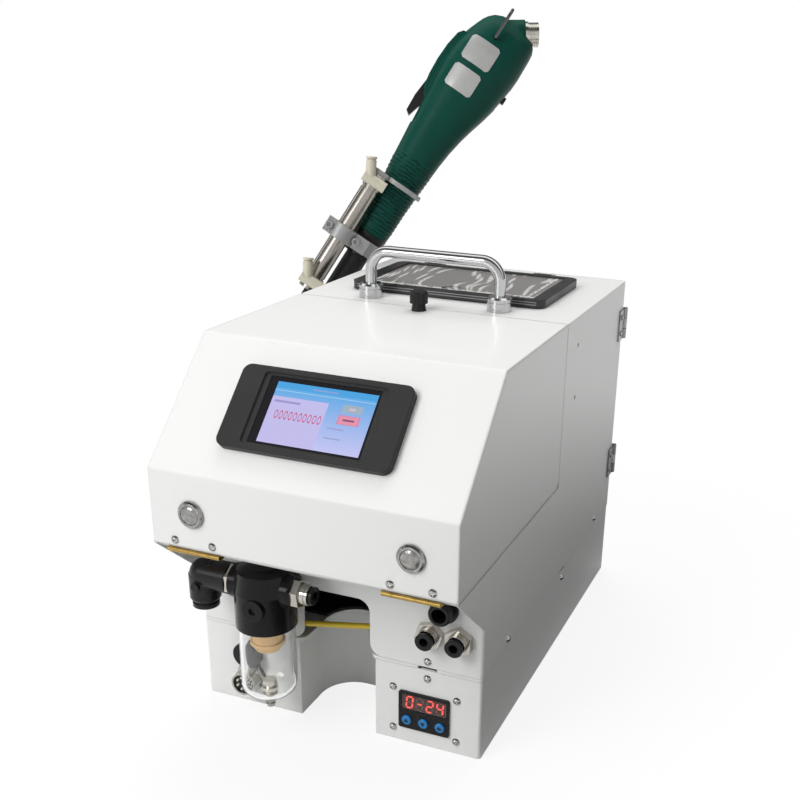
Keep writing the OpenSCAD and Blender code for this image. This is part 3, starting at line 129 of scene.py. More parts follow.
def blend(share, under, over):
    """One shader over another, by a share from 0 to 1."""
    step = tree.nodes.new("ShaderNodeMixShader")
    for socket, source in zip(step.inputs, (share, under, over)):
        tree.links.new(source, socket)
    return step.outputs[0]


def own_axes(coordinates="Object"):
    """X, Y and Z in the solid's own frame, in metres, or of a direction in the sky."""
    place = tree.nodes.new("ShaderNodeTexCoord")
    split = tree.nodes.new("ShaderNodeSeparateXYZ")
    tree.links.new(place.outputs[coordinates], split.inputs[0])
    return split.outputs


sky = bpy.data.worlds.new("sky")
sky.use_nodes = True
scene.world = sky
tree = sky.node_tree
way = own_axes("Generated")
rays = tree.nodes.new("ShaderNodeLightPath").outputs
# the sky that lights the cabinet is brighter overhead and on the left
dim_sky = tree.nodes["Background"]
lean = calc("MULTIPLY_ADD", way["X"], -0.36, way["Z"])
tree.links.new(ramp(lean, -0.5, 0.9, 0.05, 0.55), dim_sky.inputs["Color"])
# mirrors see a pale front, a dark gap above it, a bright panel overhead and a dark rear
half_turn = calc("DIVIDE", calc("ARCTAN2", way["Z"], calc("MULTIPLY", way["Y"], -1)), math.pi)
panels = greys(half_turn, 0.5, (0.20, 0.5), (0.27, 0.07), (0.43, 0.07), (0.47, 1.0), (0.62, 1.0),
               (0.67, 0.14), (1.0, 0.16))
mirror_sky = tree.nodes.new("ShaderNodeBackground")
mirror_sky.inputs["Strength"].default_value = 1.5
tree.links.new(panels, mirror_sky.inputs["Color"])
light = blend(rays["Is Glossy Ray"], dim_sky.outputs[0], mirror_sky.outputs[0])
backdrop = tree.nodes.new("ShaderNodeBackground")
backdrop.inputs["Color"].default_value = (1, 1, 1, 1)
seen = calc("MAXIMUM", rays["Is Camera Ray"], rays["Is Transmission Ray"])
tree.links.new(blend(seen, light, backdrop.outputs[0]), tree.nodes["World Output"].inputs["Surface"])

paper_half, paper_drop = 30, 0.0004
sheet = bmesh.new()
bmesh.ops.create_grid(sheet, x_segments=1, y_segments=1, size=paper_half)
floor_mesh = bpy.data.meshes.new("floor")
sheet.to_mesh(floor_mesh)
sheet.free()
floor = bpy.data.objects.new("floor", floor_mesh)
floor.location.z = -paper_drop
scene.collection.objects.link(floor)
floor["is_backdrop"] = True
paper = bpy.data.materials.new("studio_paper")
paper.use_nodes = True
tree = paper.node_tree
rays = tree.nodes.new("ShaderNodeLightPath").outputs
# the paper throws light up at the cabinet, except from a dark card beside its right panel
bounce = greys(own_axes()["X"], 0.78, (0.09, 0.78), (0.14, 0.04), (0.26, 0.04), (0.52, 0.78))
tone = tree.nodes.new("ShaderNodeMix")
tone.data_type = "RGBA"
tone.inputs["B"].default_value = (0.90, 0.90, 0.90, 1)
tree.links.new(rays["Is Camera Ray"], tone.inputs["Factor"])
tree.links.new(bounce, tone.inputs["A"])
matt = tree.nodes["Principled BSDF"]
matt.inputs["Roughness"].default_value = 0.9
tree.links.new(tone.outputs["Result"], matt.inputs["Base Color"])
# seen straight, through the bowl or in a mirror, it fades to white away from the cabinet
place = tree.nodes.new("ShaderNodeTexCoord")
reach = tree.nodes.new("ShaderNodeVectorMath")
reach.operation = "LENGTH"
tree.links.new(place.outputs["Object"], reach.inputs[0])
glow = tree.nodes.new("ShaderNodeEmission")
glow.inputs["Color"].default_value = (1, 1, 1, 1)
seen = calc("MAXIMUM", rays["Is Camera Ray"], rays["Is Transmission Ray"])
share = calc("MULTIPLY", seen, ramp(reach.outputs["Value"], 0.35, 1.2, 0.84, 1.0))
share = calc("MULTIPLY_ADD", rays["Is Glossy Ray"], ramp(reach.outputs["Value"], 0.27, 0.75), share)
tree.links.new(blend(share, matt.outputs[0], glow.outputs[0]),
               tree.nodes["Material Output"].inputs["Surface"])
floor.data.materials.append(paper)


def noise_group(name, stretch, detail):
    """A shared pattern: noise in the solid's own metres, with a scale for each axis."""
    group = bpy.data.node_groups.new(name, "ShaderNodeTree")
    group.interface.new_socket("Scale", in_out="INPUT", socket_type="NodeSocketFloat")
    group.interface.new_socket("Mask", in_out="OUTPUT", socket_type="NodeSocketFloat")
    start = group.nodes.new("NodeGroupInput")
    end = group.nodes.new("NodeGroupOutput")
    place = group.nodes.new("ShaderNodeTexCoord")
    turn = group.nodes.new("ShaderNodeMapping")
    turn.inputs["Scale"].default_value = stretch
    cloud = group.nodes.new("ShaderNodeTexNoise")
    cloud.inputs["Detail"].default_value = detail
    group.links.new(place.outputs["Object"], turn.inputs["Vector"])
    group.links.new(turn.outputs["Vector"], cloud.inputs["Vector"])
    group.links.new(start.outputs["Scale"], cloud.inputs["Scale"])
    group.links.new(cloud.outputs["Fac"], end.inputs["Mask"])
    return group


mottle = noise_group("mottle", (1, 1, 1), 4)


def finish(name, colour, rough, metal=0.0, wear_and_reflection=None, patch=30, grain=2500, relief=0.03, depth=0.0002,
           spread=0.12, pattern=None, coat=0.0, edge=0.0003, gloss=0.5):
    """A procedural finish: two tones in slow patches, varied roughness, fine relief, rounded edges. The
    second tone is wear, and on the bright button bezels, caps and bit it is painted reflection.
    """
    material = bpy.data.materials.new(name)
    material.use_nodes = True
    tree = material.node_tree
    shader = tree.nodes["Principled BSDF"]
    shader.inputs["Metallic"].default_value = metal
    shader.inputs["Coat Weight"].default_value = coat
    shader.inputs["Coat Roughness"].default_value = 0.08
    shader.inputs["Specular IOR Level"].default_value = gloss
    slow = tree.nodes.new("ShaderNodeGroup")
    slow.node_tree = mottle
    slow.inputs["Scale"].default_value = patch
    fine = tree.nodes.new("ShaderNodeGroup")
    fine.node_tree = pattern or mottle
    fine.inputs["Scale"].default_value = grain
    tone = tree.nodes.new("ShaderNodeMix")
    tone.data_type = "RGBA"
    tone.inputs["A"].default_value = (*colour, 1)
    tone.inputs["B"].default_value = (*(wear_and_reflection or [c * 0.88 for c in colour]), 1)
    tree.links.new(slow.outputs["Mask"], tone.inputs["Factor"])
    tree.links.new(tone.outputs["Result"], shader.inputs["Base Color"])
    shine = tree.nodes.new("ShaderNodeMapRange")
    shine.inputs["From Min"].default_value = 0.3
    shine.inputs["From Max"].default_value = 0.7
    shine.inputs["To Min"].default_value = max(0.02, rough - spread / 2)
    shine.inputs["To Max"].default_value = rough + spread / 2
    tree.links.new((fine if pattern else slow).outputs["Mask"], shine.inputs["Value"])
    tree.links.new(shine.outputs["Result"], shader.inputs["Roughness"])
    bump = tree.nodes.new("ShaderNodeBump")
    bump.name = "relief"
    bump.inputs["Strength"].default_value = relief
    bump.inputs["Distance"].default_value = depth
    tree.links.new(fine.outputs["Mask"], bump.inputs["Height"])
    if edge:
        rounding = tree.nodes.new("ShaderNodeBevel")
        rounding.samples = 8 if edge > 0.003 else 4
        rounding.inputs["Radius"].default_value = edge
        tree.links.new(rounding.outputs["Normal"], bump.inputs["Normal"])
    tree.links.new(bump.outputs["Normal"], shader.inputs["Normal"])
    return material


def dress(material, *names):
    """Gives these solids one finish."""
    for name in names:
        nodes[name].data.materials.clear()
        nodes[name].data.materials.append(material)


def paint(under, mask, colour):
    """Lays one colour over another where the mask is 1."""
    layer = tree.nodes.new("ShaderNodeMix")
    layer.data_type = "RGBA"
    tree.links.new(mask, layer.inputs["Factor"])
    tree.links.new(under, layer.inputs["A"])
    layer.inputs["B"].default_value = (*colour, 1)
    return layer.outputs["Result"]


def repaint(mask, colour):
    """Lays a colour over the finish that is being built, where the mask is 1."""
    base = tree.nodes["Principled BSDF"].inputs["Base Color"]
    tree.links.new(paint(base.links[0].from_socket, mask, colour), base)


def white_coat(name, edge):
    """The cabinet's white coat with bends of one radius."""
    return finish(name, (0.785, 0.79, 0.775), 0.32, wear_and_reflection=(0.775, 0.78, 0.765), patch=7, grain=1400,
                  spread=0.02, coat=0.16, edge=edge)


shell_bend, hood_bend, seam_z = 0.0007, 0.0031, 0.0592
dress(white_coat("shell_coat", shell_bend), "deck_plate", "upper_shell", "rear_door")
dress(white_coat("hood_coat", hood_bend), "hood_shell")
# the joining tabs that rise out of the tray through the deck are painted near black above the seam: painted
# shade of the dark slots round them
tray = white_coat("tray_coat_slot_shade", shell_bend)
tree = tray.node_tree
repaint(calc("GREATER_THAN", own_axes()["Z"], seam_z), (0.006, 0.006, 0.006))
dress(tray, "base_tray")

# Mat on the deck: a near-black sheet, die cut round the bay's arch and laid loose on the deck plate, so the
# inside seen through the arch is black.
dress(finish("deck_mat_black", (0.012, 0.012, 0.013), 0.8, wear_and_reflection=(0.02, 0.02, 0.02), grain=700, relief=0.3,
             depth=0.0004, gloss=0.2), "deck_mat")

# Screws that hold shell, base, meter and hinges: small steel pan heads with a bright plating, driven
# into the sheet and slightly scuffed.
plated = finish("plated_steel", (0.54, 0.54, 0.54), 0.12, 1.0, wear_and_reflection=(0.44, 0.44, 0.44), patch=200,
                grain=1500, edge=0.0001)
dress(plated, "panel_screws", "hood_hinge_screws")

# Carrying handle: an 8 mm steel bar, bent twice and set in two turned ferrules, polished and chrome
# plated, and screwed down through the roof.
dress(finish("chrome", (0.55, 0.55, 0.55), 0.06, 1.0, wear_and_reflection=(0.48, 0.48, 0.49), patch=60, grain=600,
             relief=0.003, spread=0.05), "carry_handle")

# Hood hinges: two brass butts, rolled from strip round a pin. The upper leaf is screwed inside the
# fascia and the lower one sits under the shelf, so the hood tips forward.
dress(finish("brass", (0.54, 0.37, 0.115), 0.34, 1.0, wear_and_reflection=(0.36, 0.235, 0.065), patch=260, grain=900,
             relief=0.06, edge=0.00025), "hood_hinge_upper", "hood_hinge_lower")

# Touch panel: a matt charcoal moulding clipped into a cut-out of the slope, with a recessed colour
# screen that shows plain fields and a row of zeros.
dress(finish("charcoal_plastic", (0.022, 0.0225, 0.022), 0.5, wear_and_reflection=(0.028, 0.0285, 0.028), grain=1800,
             relief=0.15, edge=0.0016, gloss=0.3), "hmi_bezel")
lit_screen = bpy.data.materials.new("lit_screen")
lit_screen.use_nodes = True
tree = lit_screen.node_tree


def window(u, v, u0, u1, v0, v1):
    """1 where both values lie inside their limits and 0 elsewhere."""
    wide = calc("MULTIPLY", calc("GREATER_THAN", u, u0), calc("LESS_THAN", u, u1))
    high = calc("MULTIPLY", calc("GREATER_THAN", v, v0), calc("LESS_THAN", v, v1))
    return calc("MULTIPLY", wide, high)


screen_left, screen_foot, screen_w, screen_h = -0.0365, 0.0179, 0.069, 0.042
axes = own_axes()
# u runs across the lit picture and v up the slope of 45 degrees
u = calc("DIVIDE", calc("SUBTRACT", axes["X"], screen_left), screen_w)
rise = calc("MULTIPLY", calc("ADD", axes["Y"], axes["Z"]), math.sqrt(0.5))
v = calc("DIVIDE", calc("SUBTRACT", rise, screen_foot), screen_h)
tint = tree.nodes.new("ShaderNodeMix")
tint.data_type = "RGBA"
tint.inputs["A"].default_value = (0.57, 0.58, 0.92, 1)
tint.inputs["B"].default_value = (0.07, 0.40, 0.80, 1)
tree.links.new(v, tint.inputs["Factor"])
picture = tint.outputs["Result"]
for u0, u1, v0, v1, colour in (
        (0, 0.56, 0, 0.76, (0.56, 0.53, 0.86)),
        (0, 1, 0.90, 1, (0.07, 0.38, 0.78)),
        (0, 1, 0.855, 0.865, (0.40, 0.68, 0.92)),
        (0.36, 0.62, 0.925, 0.95, (0.26, 0.38, 0.70)),
        (0.03, 0.29, 0.665, 0.70, (0.34, 0.32, 0.62)),
        (0.70, 0.90, 0.65, 0.78, (0.36, 0.46, 0.56)),
        (0.77, 0.83, 0.695, 0.735, (0.66, 0.52, 0.60)),
        (0.69, 0.90, 0.46, 0.61, (0.66, 0.24, 0.40)),
        (0.70, 0.89, 0.47, 0.60, (0.80, 0.30, 0.42)),
        (0.74, 0.85, 0.52, 0.55, (0.24, 0.08, 0.18)),
        (0.62, 0.78, 0.365, 0.385, (0.34, 0.36, 0.64)),
        (0.62, 0.78, 0.21, 0.23, (0.34, 0.36, 0.64))):
    picture = paint(picture, window(u, v, u0, u1, v0, v1), colour)
# a counter that reads ten zeros
counter_u, counter_v, zeros_per_u, zero_h = 0.07, 0.47, 21, 0.15
cell = calc("SUBTRACT", calc("FRACT", calc("MULTIPLY", calc("SUBTRACT", u, counter_u), zeros_per_u)), 0.5)
tall = calc("DIVIDE", calc("SUBTRACT", v, counter_v), zero_h)
oval = calc("SQRT", calc("ADD", calc("POWER", calc("MULTIPLY", cell, 1.25), 2), calc("POWER", tall, 2)))
ring = calc("LESS_THAN", calc("ABSOLUTE", calc("SUBTRACT", oval, 0.40)), 0.075)
counter = window(u, v, counter_u, counter_u + 10 / zeros_per_u, 0.3, 0.65)
picture = paint(picture, calc("MULTIPLY", ring, counter), (0.58, 0.10, 0.24))
dark = tree.nodes.new("ShaderNodeMix")
dark.data_type = "RGBA"
dark.inputs["A"].default_value = (0.004, 0.004, 0.005, 1)
tree.links.new(window(u, v, 0, 1, 0, 1), dark.inputs["Factor"])
tree.links.new(picture, dark.inputs["B"])
shader = tree.nodes["Principled BSDF"]
shader.inputs["Base Color"].default_value = (0.01, 0.01, 0.012, 1)
shader.inputs["Roughness"].default_value = 0.12
shader.inputs["Emission Strength"].default_value = 0.95
tree.links.new(dark.outputs["Result"], shader.inputs["Emission Color"])
dress(lit_screen, "hmi_screen")

# Knob of the hood: a small thumb knob moulded in black plastic on a steel stud, which screws the hood
# down at the roof.
black_plastic = finish("black_plastic", (0.007, 0.007, 0.008), 0.28, wear_and_reflection=(0.011, 0.011, 0.012), patch=80,
                       grain=1600, relief=0.10, gloss=0.28)
dress(black_plastic, "hood_knob")

# Two push buttons: bright plated bezels, fixed through the fascia by their threaded barrels, with
# domed metal caps that slide in them.
# the bezels' dark patches are painted reflection in the chrome
dress(finish("button_chrome", (0.56, 0.55, 0.53), 0.08, 1.0, wear_and_reflection=(0.12, 0.12, 0.115), patch=260, grain=420,
             relief=0.5, depth=0.0006, edge=0.0007), "button_bezels")
# the dark patches on the caps and the bit are painted reflection in the bright steel
turned = finish("turned_steel", (0.54, 0.53, 0.51), 0.14, 1.0, wear_and_reflection=(0.10, 0.10, 0.095), patch=260,
                grain=300, relief=0.5, depth=0.0008, edge=0.0008)
dress(turned, "left_button", "right_button")

# Hopper lid: a grey panel held in a black moulded rim, on two small plated hinges. The front rail has two
# grooves, drawn as pale grey lines, and the panel still wears its protective film, lifted into long creases
# whose pale colour is painted highlight.
rim = finish("rim_plastic", (0.016, 0.016, 0.017), 0.34, wear_and_reflection=(0.022, 0.022, 0.023), patch=50, grain=1500,
             relief=0.1, edge=0.0012, gloss=0.45)
tree = rim.node_tree
axes = own_axes()
rim_low = Vector(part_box("lid_rim")[0])
groove_h, groove_depth = 0.0005, 0.0004
# the two grooves are drawn as thin pale grey lines on the rail, with no cut in the rim
for height in (0.0022, 0.0040):
    z = rim_low.z + height
    groove = window(axes["Y"], axes["Z"], -1, rim_low.y + groove_depth, z, z + groove_h)
    repaint(groove, (0.30, 0.30, 0.30))
dress(rim, "lid_rim")
dress(plated, "lid_hinges")
film = bpy.data.materials.new("filmed_panel")
film.use_nodes = True
tree = film.node_tree
place = tree.nodes.new("ShaderNodeTexCoord")
bend = tree.nodes.new("ShaderNodeTexNoise")
bend.inputs["Scale"].default_value = 16
bend.inputs["Detail"].default_value = 1
tree.links.new(place.outputs["Object"], bend.inputs["Vector"])
warp = tree.nodes.new("ShaderNodeVectorMath")
warp.operation = "MULTIPLY_ADD"
warp.inputs[1].default_value = (0.05, 0.03, 0)
tree.links.new(bend.outputs["Color"], warp.inputs[0])
tree.links.new(place.outputs["Object"], warp.inputs[2])
crease_and_highlight = 0
for turn, shift in ((-12, 0.3), (14, 1.7), (-34, 4.1), (32, 6.6), (-48, 9.2), (6, 12.4), (-22, 15.3)):
    slant = tree.nodes.new("ShaderNodeMapping")
    slant.inputs["Rotation"].default_value = (0, 0, math.radians(turn))
    slant.inputs["Scale"].default_value = (55, 7, 0)
    slant.inputs["Location"].default_value = (shift, 3 * shift, 0)
    tree.links.new(warp.outputs[0], slant.inputs["Vector"])
    spots = tree.nodes.new("ShaderNodeTexVoronoi")
    spots.voronoi_dimensions = "2D"
    spots.inputs["Scale"].default_value = 1
    tree.links.new(slant.outputs["Vector"], spots.inputs["Vector"])
    crease_and_highlight = calc("MAXIMUM", ramp(spots.outputs["Distance"], 0.12, 0.06), crease_and_highlight)
breaks = tree.nodes.new("ShaderNodeTexNoise")
breaks.inputs["Scale"].default_value = 260
breaks.inputs["Detail"].default_value = 3
tree.links.new(place.outputs["Object"], breaks.inputs["Vector"])
crease_and_highlight = calc("MULTIPLY", crease_and_highlight, calc("MULTIPLY_ADD", breaks.outputs["Fac"], 1.0, 0.35))
# the film's hem is crumpled along the front rail and at the right end, and its crumples carry the same
# painted highlight
panel_low, panel_high = (Vector(corner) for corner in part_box("lid_panel"))
axes = own_axes()
for axis, start, end in (("Y", panel_low.y + 0.0055, panel_low.y + 0.0100),
                         ("X", panel_high.x - 0.0080, panel_high.x - 0.0055)):
    hem = window(axes[axis], breaks.outputs["Fac"], start, end, 0.44, 1)
    crease_and_highlight = calc("MAXIMUM", crease_and_highlight, calc("MULTIPLY", hem, 0.9))
ground = tree.nodes.new("ShaderNodeMix")
ground.data_type = "RGBA"
ground.inputs["A"].default_value = (0.185, 0.176, 0.168, 1)
ground.inputs["B"].default_value = (0.22, 0.21, 0.20, 1)
tree.links.new(breaks.outputs["Fac"], ground.inputs["Factor"])
shader = tree.nodes["Principled BSDF"]
# the creases are real bumps in the film, and their pale colour is painted highlight
tree.links.new(paint(ground.outputs["Result"], crease_and_highlight, (0.62, 0.61, 0.59)), shader.inputs["Base Color"])
tree.links.new(calc("MULTIPLY_ADD", crease_and_highlight, 0.15, 0.16), shader.inputs["Roughness"])
bump = tree.nodes.new("ShaderNodeBump")
bump.inputs["Strength"].default_value = 0.4
bump.inputs["Distance"].default_value = 0.0008
tree.links.new(calc("MULTIPLY_ADD", bend.outputs["Fac"], 0.6, crease_and_highlight), bump.inputs["Height"])
tree.links.new(bump.outputs["Normal"], shader.inputs["Normal"])
dress(film, "lid_panel")

# Meter: a black moulded frame snapped into the right pedestal, with a tinted window, four red digits
# behind it and three blue moulded keys that carry a dark mark each.
dress(black_plastic, "meter_frame")
tinted = finish("tinted_window", (0.042, 0.034, 0.030), 0.18, wear_and_reflection=(0.050, 0.040, 0.036), edge=0)
# the lit digits tint the window
shader = tinted.node_tree.nodes["Principled BSDF"]
shader.inputs["Emission Color"].default_value = (0.035, 0.002, 0.002, 1)
shader.inputs["Emission Strength"].default_value = 1.0
dress(tinted, "meter_window")
dress(finish("blue_plastic", (0.014, 0.21, 0.52), 0.30, wear_and_reflection=(0.010, 0.17, 0.45), patch=150),
      "meter_key_left", "meter_key_middle", "meter_key_right")


def flat_piece(name, outlines, at_y, material, body):
    """Thin printed or lit marks on a front face: outlines in X and Z, a hair proud of the face."""
    marks = bmesh.new()
    for outline in outlines:
        face = marks.faces.new([marks.verts.new((x, at_y, z)) for x, z in outline])
        face.normal_update()
        if face.normal.y > 0:
            face.normal_flip()
    mesh = bpy.data.meshes.new(name)
    marks.to_mesh(mesh)
    marks.free()
    piece = bpy.data.objects.new(name, mesh)
    piece.data.materials.append(material)
    scene.collection.objects.link(piece)
    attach(piece, body)


def lamp_colour(name, colour, strength):
    """A lit segment with slightly uneven brightness."""
    material = bpy.data.materials.new(name)
    material.use_nodes = True
    tree = material.node_tree
    shader = tree.nodes["Principled BSDF"]
    shader.inputs["Base Color"].default_value = (*[0.3 * c for c in colour], 1)
    shader.inputs["Emission Strength"].default_value = strength
    uneven = tree.nodes.new("ShaderNodeGroup")
    uneven.node_tree = mottle
    uneven.inputs["Scale"].default_value = 900
    tone = tree.nodes.new("ShaderNodeMix")
    tone.data_type = "RGBA"
    tone.inputs["A"].default_value = (*colour, 1)
    tone.inputs["B"].default_value = (*[0.75 * c for c in colour], 1)
    tree.links.new(uneven.outputs["Mask"], tone.inputs["Factor"])
    tree.links.new(tone.outputs["Result"], shader.inputs["Emission Color"])
    return material


window_low, window_high = (Vector(corner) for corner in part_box("meter_window"))
digit_w, digit_h, stroke, slope = 0.0043, 0.0086, 0.0013, 0.10
digit_left, digit_pitch, proud = 0.0028, 0.0073, 0.0001
base_z = (window_low.z + window_high.z) / 2 - digit_h / 2


def segments(number, left):
    """The seven segments of one digit as outlines, and which of them the figure lights."""
    w, h, t = digit_w, digit_h, stroke
    bars = {}
    for key, z in (("a", h), ("g", h / 2), ("d", 0)):
        bars[key] = [(t * 0.2, z), (t * 0.6, z + t / 2), (w - t * 0.6, z + t / 2), (w - t * 0.2, z),
                     (w - t * 0.6, z - t / 2), (t * 0.6, z - t / 2)]
    for key, x, z in (("f", 0, h / 2), ("b", w, h / 2), ("e", 0, 0), ("c", w, 0)):
        bars[key] = [(x, z + t * 0.2), (x + t / 2, z + t * 0.6), (x + t / 2, z + h / 2 - t * 0.6),
                     (x, z + h / 2 - t * 0.2), (x - t / 2, z + h / 2 - t * 0.6), (x - t / 2, z + t * 0.6)]
    lit = {"0": "abcdef", "2": "abged", "4": "fgbc", "-": "g"}[number]
    return [([(left + x + slope * z, base_z + z) for x, z in bar], key in lit) for key, bar in bars.items()]


strokes = []
for place_no, number in enumerate("0-24"):
    strokes += segments(number, window_low.x + digit_left + place_no * digit_pitch)
flat_piece("digits_lit", [s for s, lit in strokes if lit], window_low.y - proud,
           lamp_colour("red_segment", (1.0, 0.12, 0.10), 1.0), "cabinet")
flat_piece("digits_unlit", [s for s, lit in strokes if not lit], window_low.y - proud,
           finish("pale_segment", (0.11, 0.085, 0.07), 0.4, edge=0), "cabinet")
line, x0, x1, z0, z1 = 0.0003, window_low.x, window_high.x, window_low.z, window_high.z
outlines = [[(a, c), (b, c), (b, d), (a, d)] for a, b, c, d in (
    (x0, x1, z0, z0 + line), (x0, x1, z1 - line, z1), (x0, x0 + line, z0, z1), (x1 - line, x1, z0, z1))]
flat_piece("window_line", outlines, window_low.y - proud / 2,
           finish("grey_print", (0.22, 0.22, 0.22), 0.5, edge=0), "cabinet")
mm = 0.001
key_mark = finish("key_mark", (0.003, 0.008, 0.03), 0.4, edge=0)
for side, shape in (
        ("left", ((-1.8, -1.3), (1.8, -1.3), (0, 1.8))),
        ("middle", ((-1.8, 1.3), (1.8, 1.3), (0, -1.8))),
        ("right", ((-1.9, -0.2), (0.2, 1.7), (0.2, 0.5), (1.8, 0.5), (1.8, -0.9), (0.2, -0.9),
                   (0.2, -1.9)))):
    low, high = (Vector(corner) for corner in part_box("meter_key_" + side))
    x, z = (low.x + high.x) / 2, (low.z + high.z) / 2
    outline = [(x + mm * a, z + mm * b) for a, b in shape]
    flat_piece("mark_" + side, [outline], low.y - proud / 2, key_mark, "key_" + side)

# Couplings on the right of the front plate: turned brass, nickel plated and fixed through the sheet,
# with black moulded release collets, and the black outlet of the screw tube above them.
nickel = finish("nickel", (0.62, 0.595, 0.54), 0.13, 1.0, wear_and_reflection=(0.46, 0.44, 0.40), patch=150, grain=700,
                relief=0.04, edge=0.0003)
dress(nickel, "bulkhead_bodies")
dress(black_plastic, "bulkhead_collet_left", "bulkhead_collet_right", "outlet_collet", "outlet_fitting")

# Signal socket on the left pedestal: a turned nickel-plated shell, a black moulded insert with bare
# metal pins, and its rubber dust cap on a strap.
dress(nickel, "socket_shell")
insert = finish("pinned_insert", (0.008, 0.008, 0.009), 0.3, wear_and_reflection=(0.013, 0.013, 0.014), patch=80,
                grain=1600)
tree = insert.node_tree
# the pins stand 1.8 mm out of the black face, and their metal stops just short of it
pin_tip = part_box("socket_insert")[0][1]
pin_metal = 0.0017
repaint(calc("LESS_THAN", own_axes()["Y"], pin_tip + pin_metal), (0.80, 0.78, 0.72))
dress(insert, "socket_insert")
dress(finish("black_rubber", (0.012, 0.012, 0.013), 0.6, wear_and_reflection=(0.02, 0.02, 0.021), patch=90, grain=1300,
             relief=0.2, edge=0.0006, gloss=0.25), "socket_cap")

# Air filter: black moulded head bolted to the front plate, a clear bowl, a sintered element,
# a plated drain valve, the inlet elbow and the nickel fittings of both ports.
dress(finish("filter_black", (0.004, 0.004, 0.005), 0.15, wear_and_reflection=(0.007, 0.007, 0.008), patch=60, grain=1400,
             relief=0.05, spread=0.08, edge=0.0008, gloss=0.2), "filter_head")
clear = bpy.data.materials.new("clear_bowl")
clear.use_nodes = True
tree = clear.node_tree
shader = tree.nodes["Principled BSDF"]
shader.inputs["Base Color"].default_value = (0.985, 0.99, 0.985, 1)
shader.inputs["Transmission Weight"].default_value = 1.0
shader.inputs["IOR"].default_value = 1.42
haze = tree.nodes.new("ShaderNodeGroup")
haze.node_tree = mottle
haze.inputs["Scale"].default_value = 60
tree.links.new(calc("MULTIPLY_ADD", haze.outputs["Mask"], 0.05, 0.01), shader.inputs["Roughness"])
dress(clear, "filter_bowl")
dress(finish("sintered", (0.82, 0.56, 0.27), 0.8, wear_and_reflection=(0.72, 0.46, 0.20), patch=300, grain=1500,
             relief=0.5, depth=0.0005), "filter_core")
dress(nickel, "drain_valve", "filter_ports")
dress(black_plastic, "inlet_elbow")

# Thin air tube that crosses behind the arch: extruded yellow plastic, cut to length and held in two
# black moulded clips.
dress(finish("yellow_tube", (0.92, 0.70, 0.05), 0.33, wear_and_reflection=(0.84, 0.60, 0.04), patch=250), "cross_tube")
dress(black_plastic, "tube_clips")

# Rear side: pressed steel door hinges with a dull zinc plating, the black moulded mains inlet and
# the red rocker beside it.
dress(finish("zinc", (0.30, 0.30, 0.31), 0.26, 1.0, wear_and_reflection=(0.24, 0.24, 0.25), patch=120, grain=900),
      "door_hinges")
dress(black_plastic, "mains_inlet")
dress(finish("red_plastic", (0.45, 0.015, 0.012), 0.3, wear_and_reflection=(0.36, 0.01, 0.01), patch=150), "power_rocker")

# Feed works inside: a bin folded from brushed stainless sheet, a ground lifting blade, a milled
# aluminium track and the shuttle that parts the screws.
brush = noise_group("brush", (1, 1, 0.02), 3)
dress(finish("stainless", (0.56, 0.56, 0.55), 0.32, 1.0, wear_and_reflection=(0.48, 0.48, 0.48), patch=30, grain=400,
             pattern=brush, relief=0.05), "hopper_bin", "lift_blade", "shuttle")
dress(finish("milled_aluminium", (0.62, 0.63, 0.64), 0.36, 1.0, wear_and_reflection=(0.54, 0.55, 0.56), patch=70,
             grain=600), "feed_rail")

# Hand-held driver: green moulded housing with a ribbed grip and two blank plates on its side,
# black lever and switch, a wire bail and a nickel plug.
driver_turn = (Matrix.Rotation(math.radians(36.8), 3, "Z") @ Matrix.Rotation(math.radians(33.9), 3, "Y")
               @ Matrix.Rotation(math.radians(-14), 3, "Z"))
driver_foot = Vector((-0.1425, 0.132, 0.2435))
green = finish("green_housing", (0.0022, 0.050, 0.035), 0.38, wear_and_reflection=(0.0035, 0.060, 0.043), patch=40,
               grain=1200, relief=0.08, edge=0.0035, gloss=0.12)
tree = green.node_tree
place = tree.nodes.new("ShaderNodeTexCoord")
shift = tree.nodes.new("ShaderNodeVectorMath")
shift.operation = "SUBTRACT"
shift.inputs[1].default_value = driver_foot
tree.links.new(place.outputs["Object"], shift.inputs[0])
lengthwise = tree.nodes.new("ShaderNodeVectorMath")
lengthwise.operation = "DOT_PRODUCT"
lengthwise.inputs[1].default_value = driver_turn @ Vector((0, 0, 1))
tree.links.new(shift.outputs[0], lengthwise.inputs[0])
wander = tree.nodes.new("ShaderNodeGroup")
wander.node_tree = mottle
wander.inputs["Scale"].default_value = 130
rib_pitch, rib_wander, grip_start, grip_end = 0.0032, 0.006, 0.050, 0.120
along = calc("ADD", lengthwise.outputs["Value"], calc("MULTIPLY", wander.outputs["Mask"], rib_wander))
ribs = calc("MULTIPLY", calc("SINE", calc("MULTIPLY", along, 2 * math.pi / rib_pitch)),
            window(lengthwise.outputs["Value"], wander.outputs["Mask"], grip_start, grip_end, 0.0, 0.56))
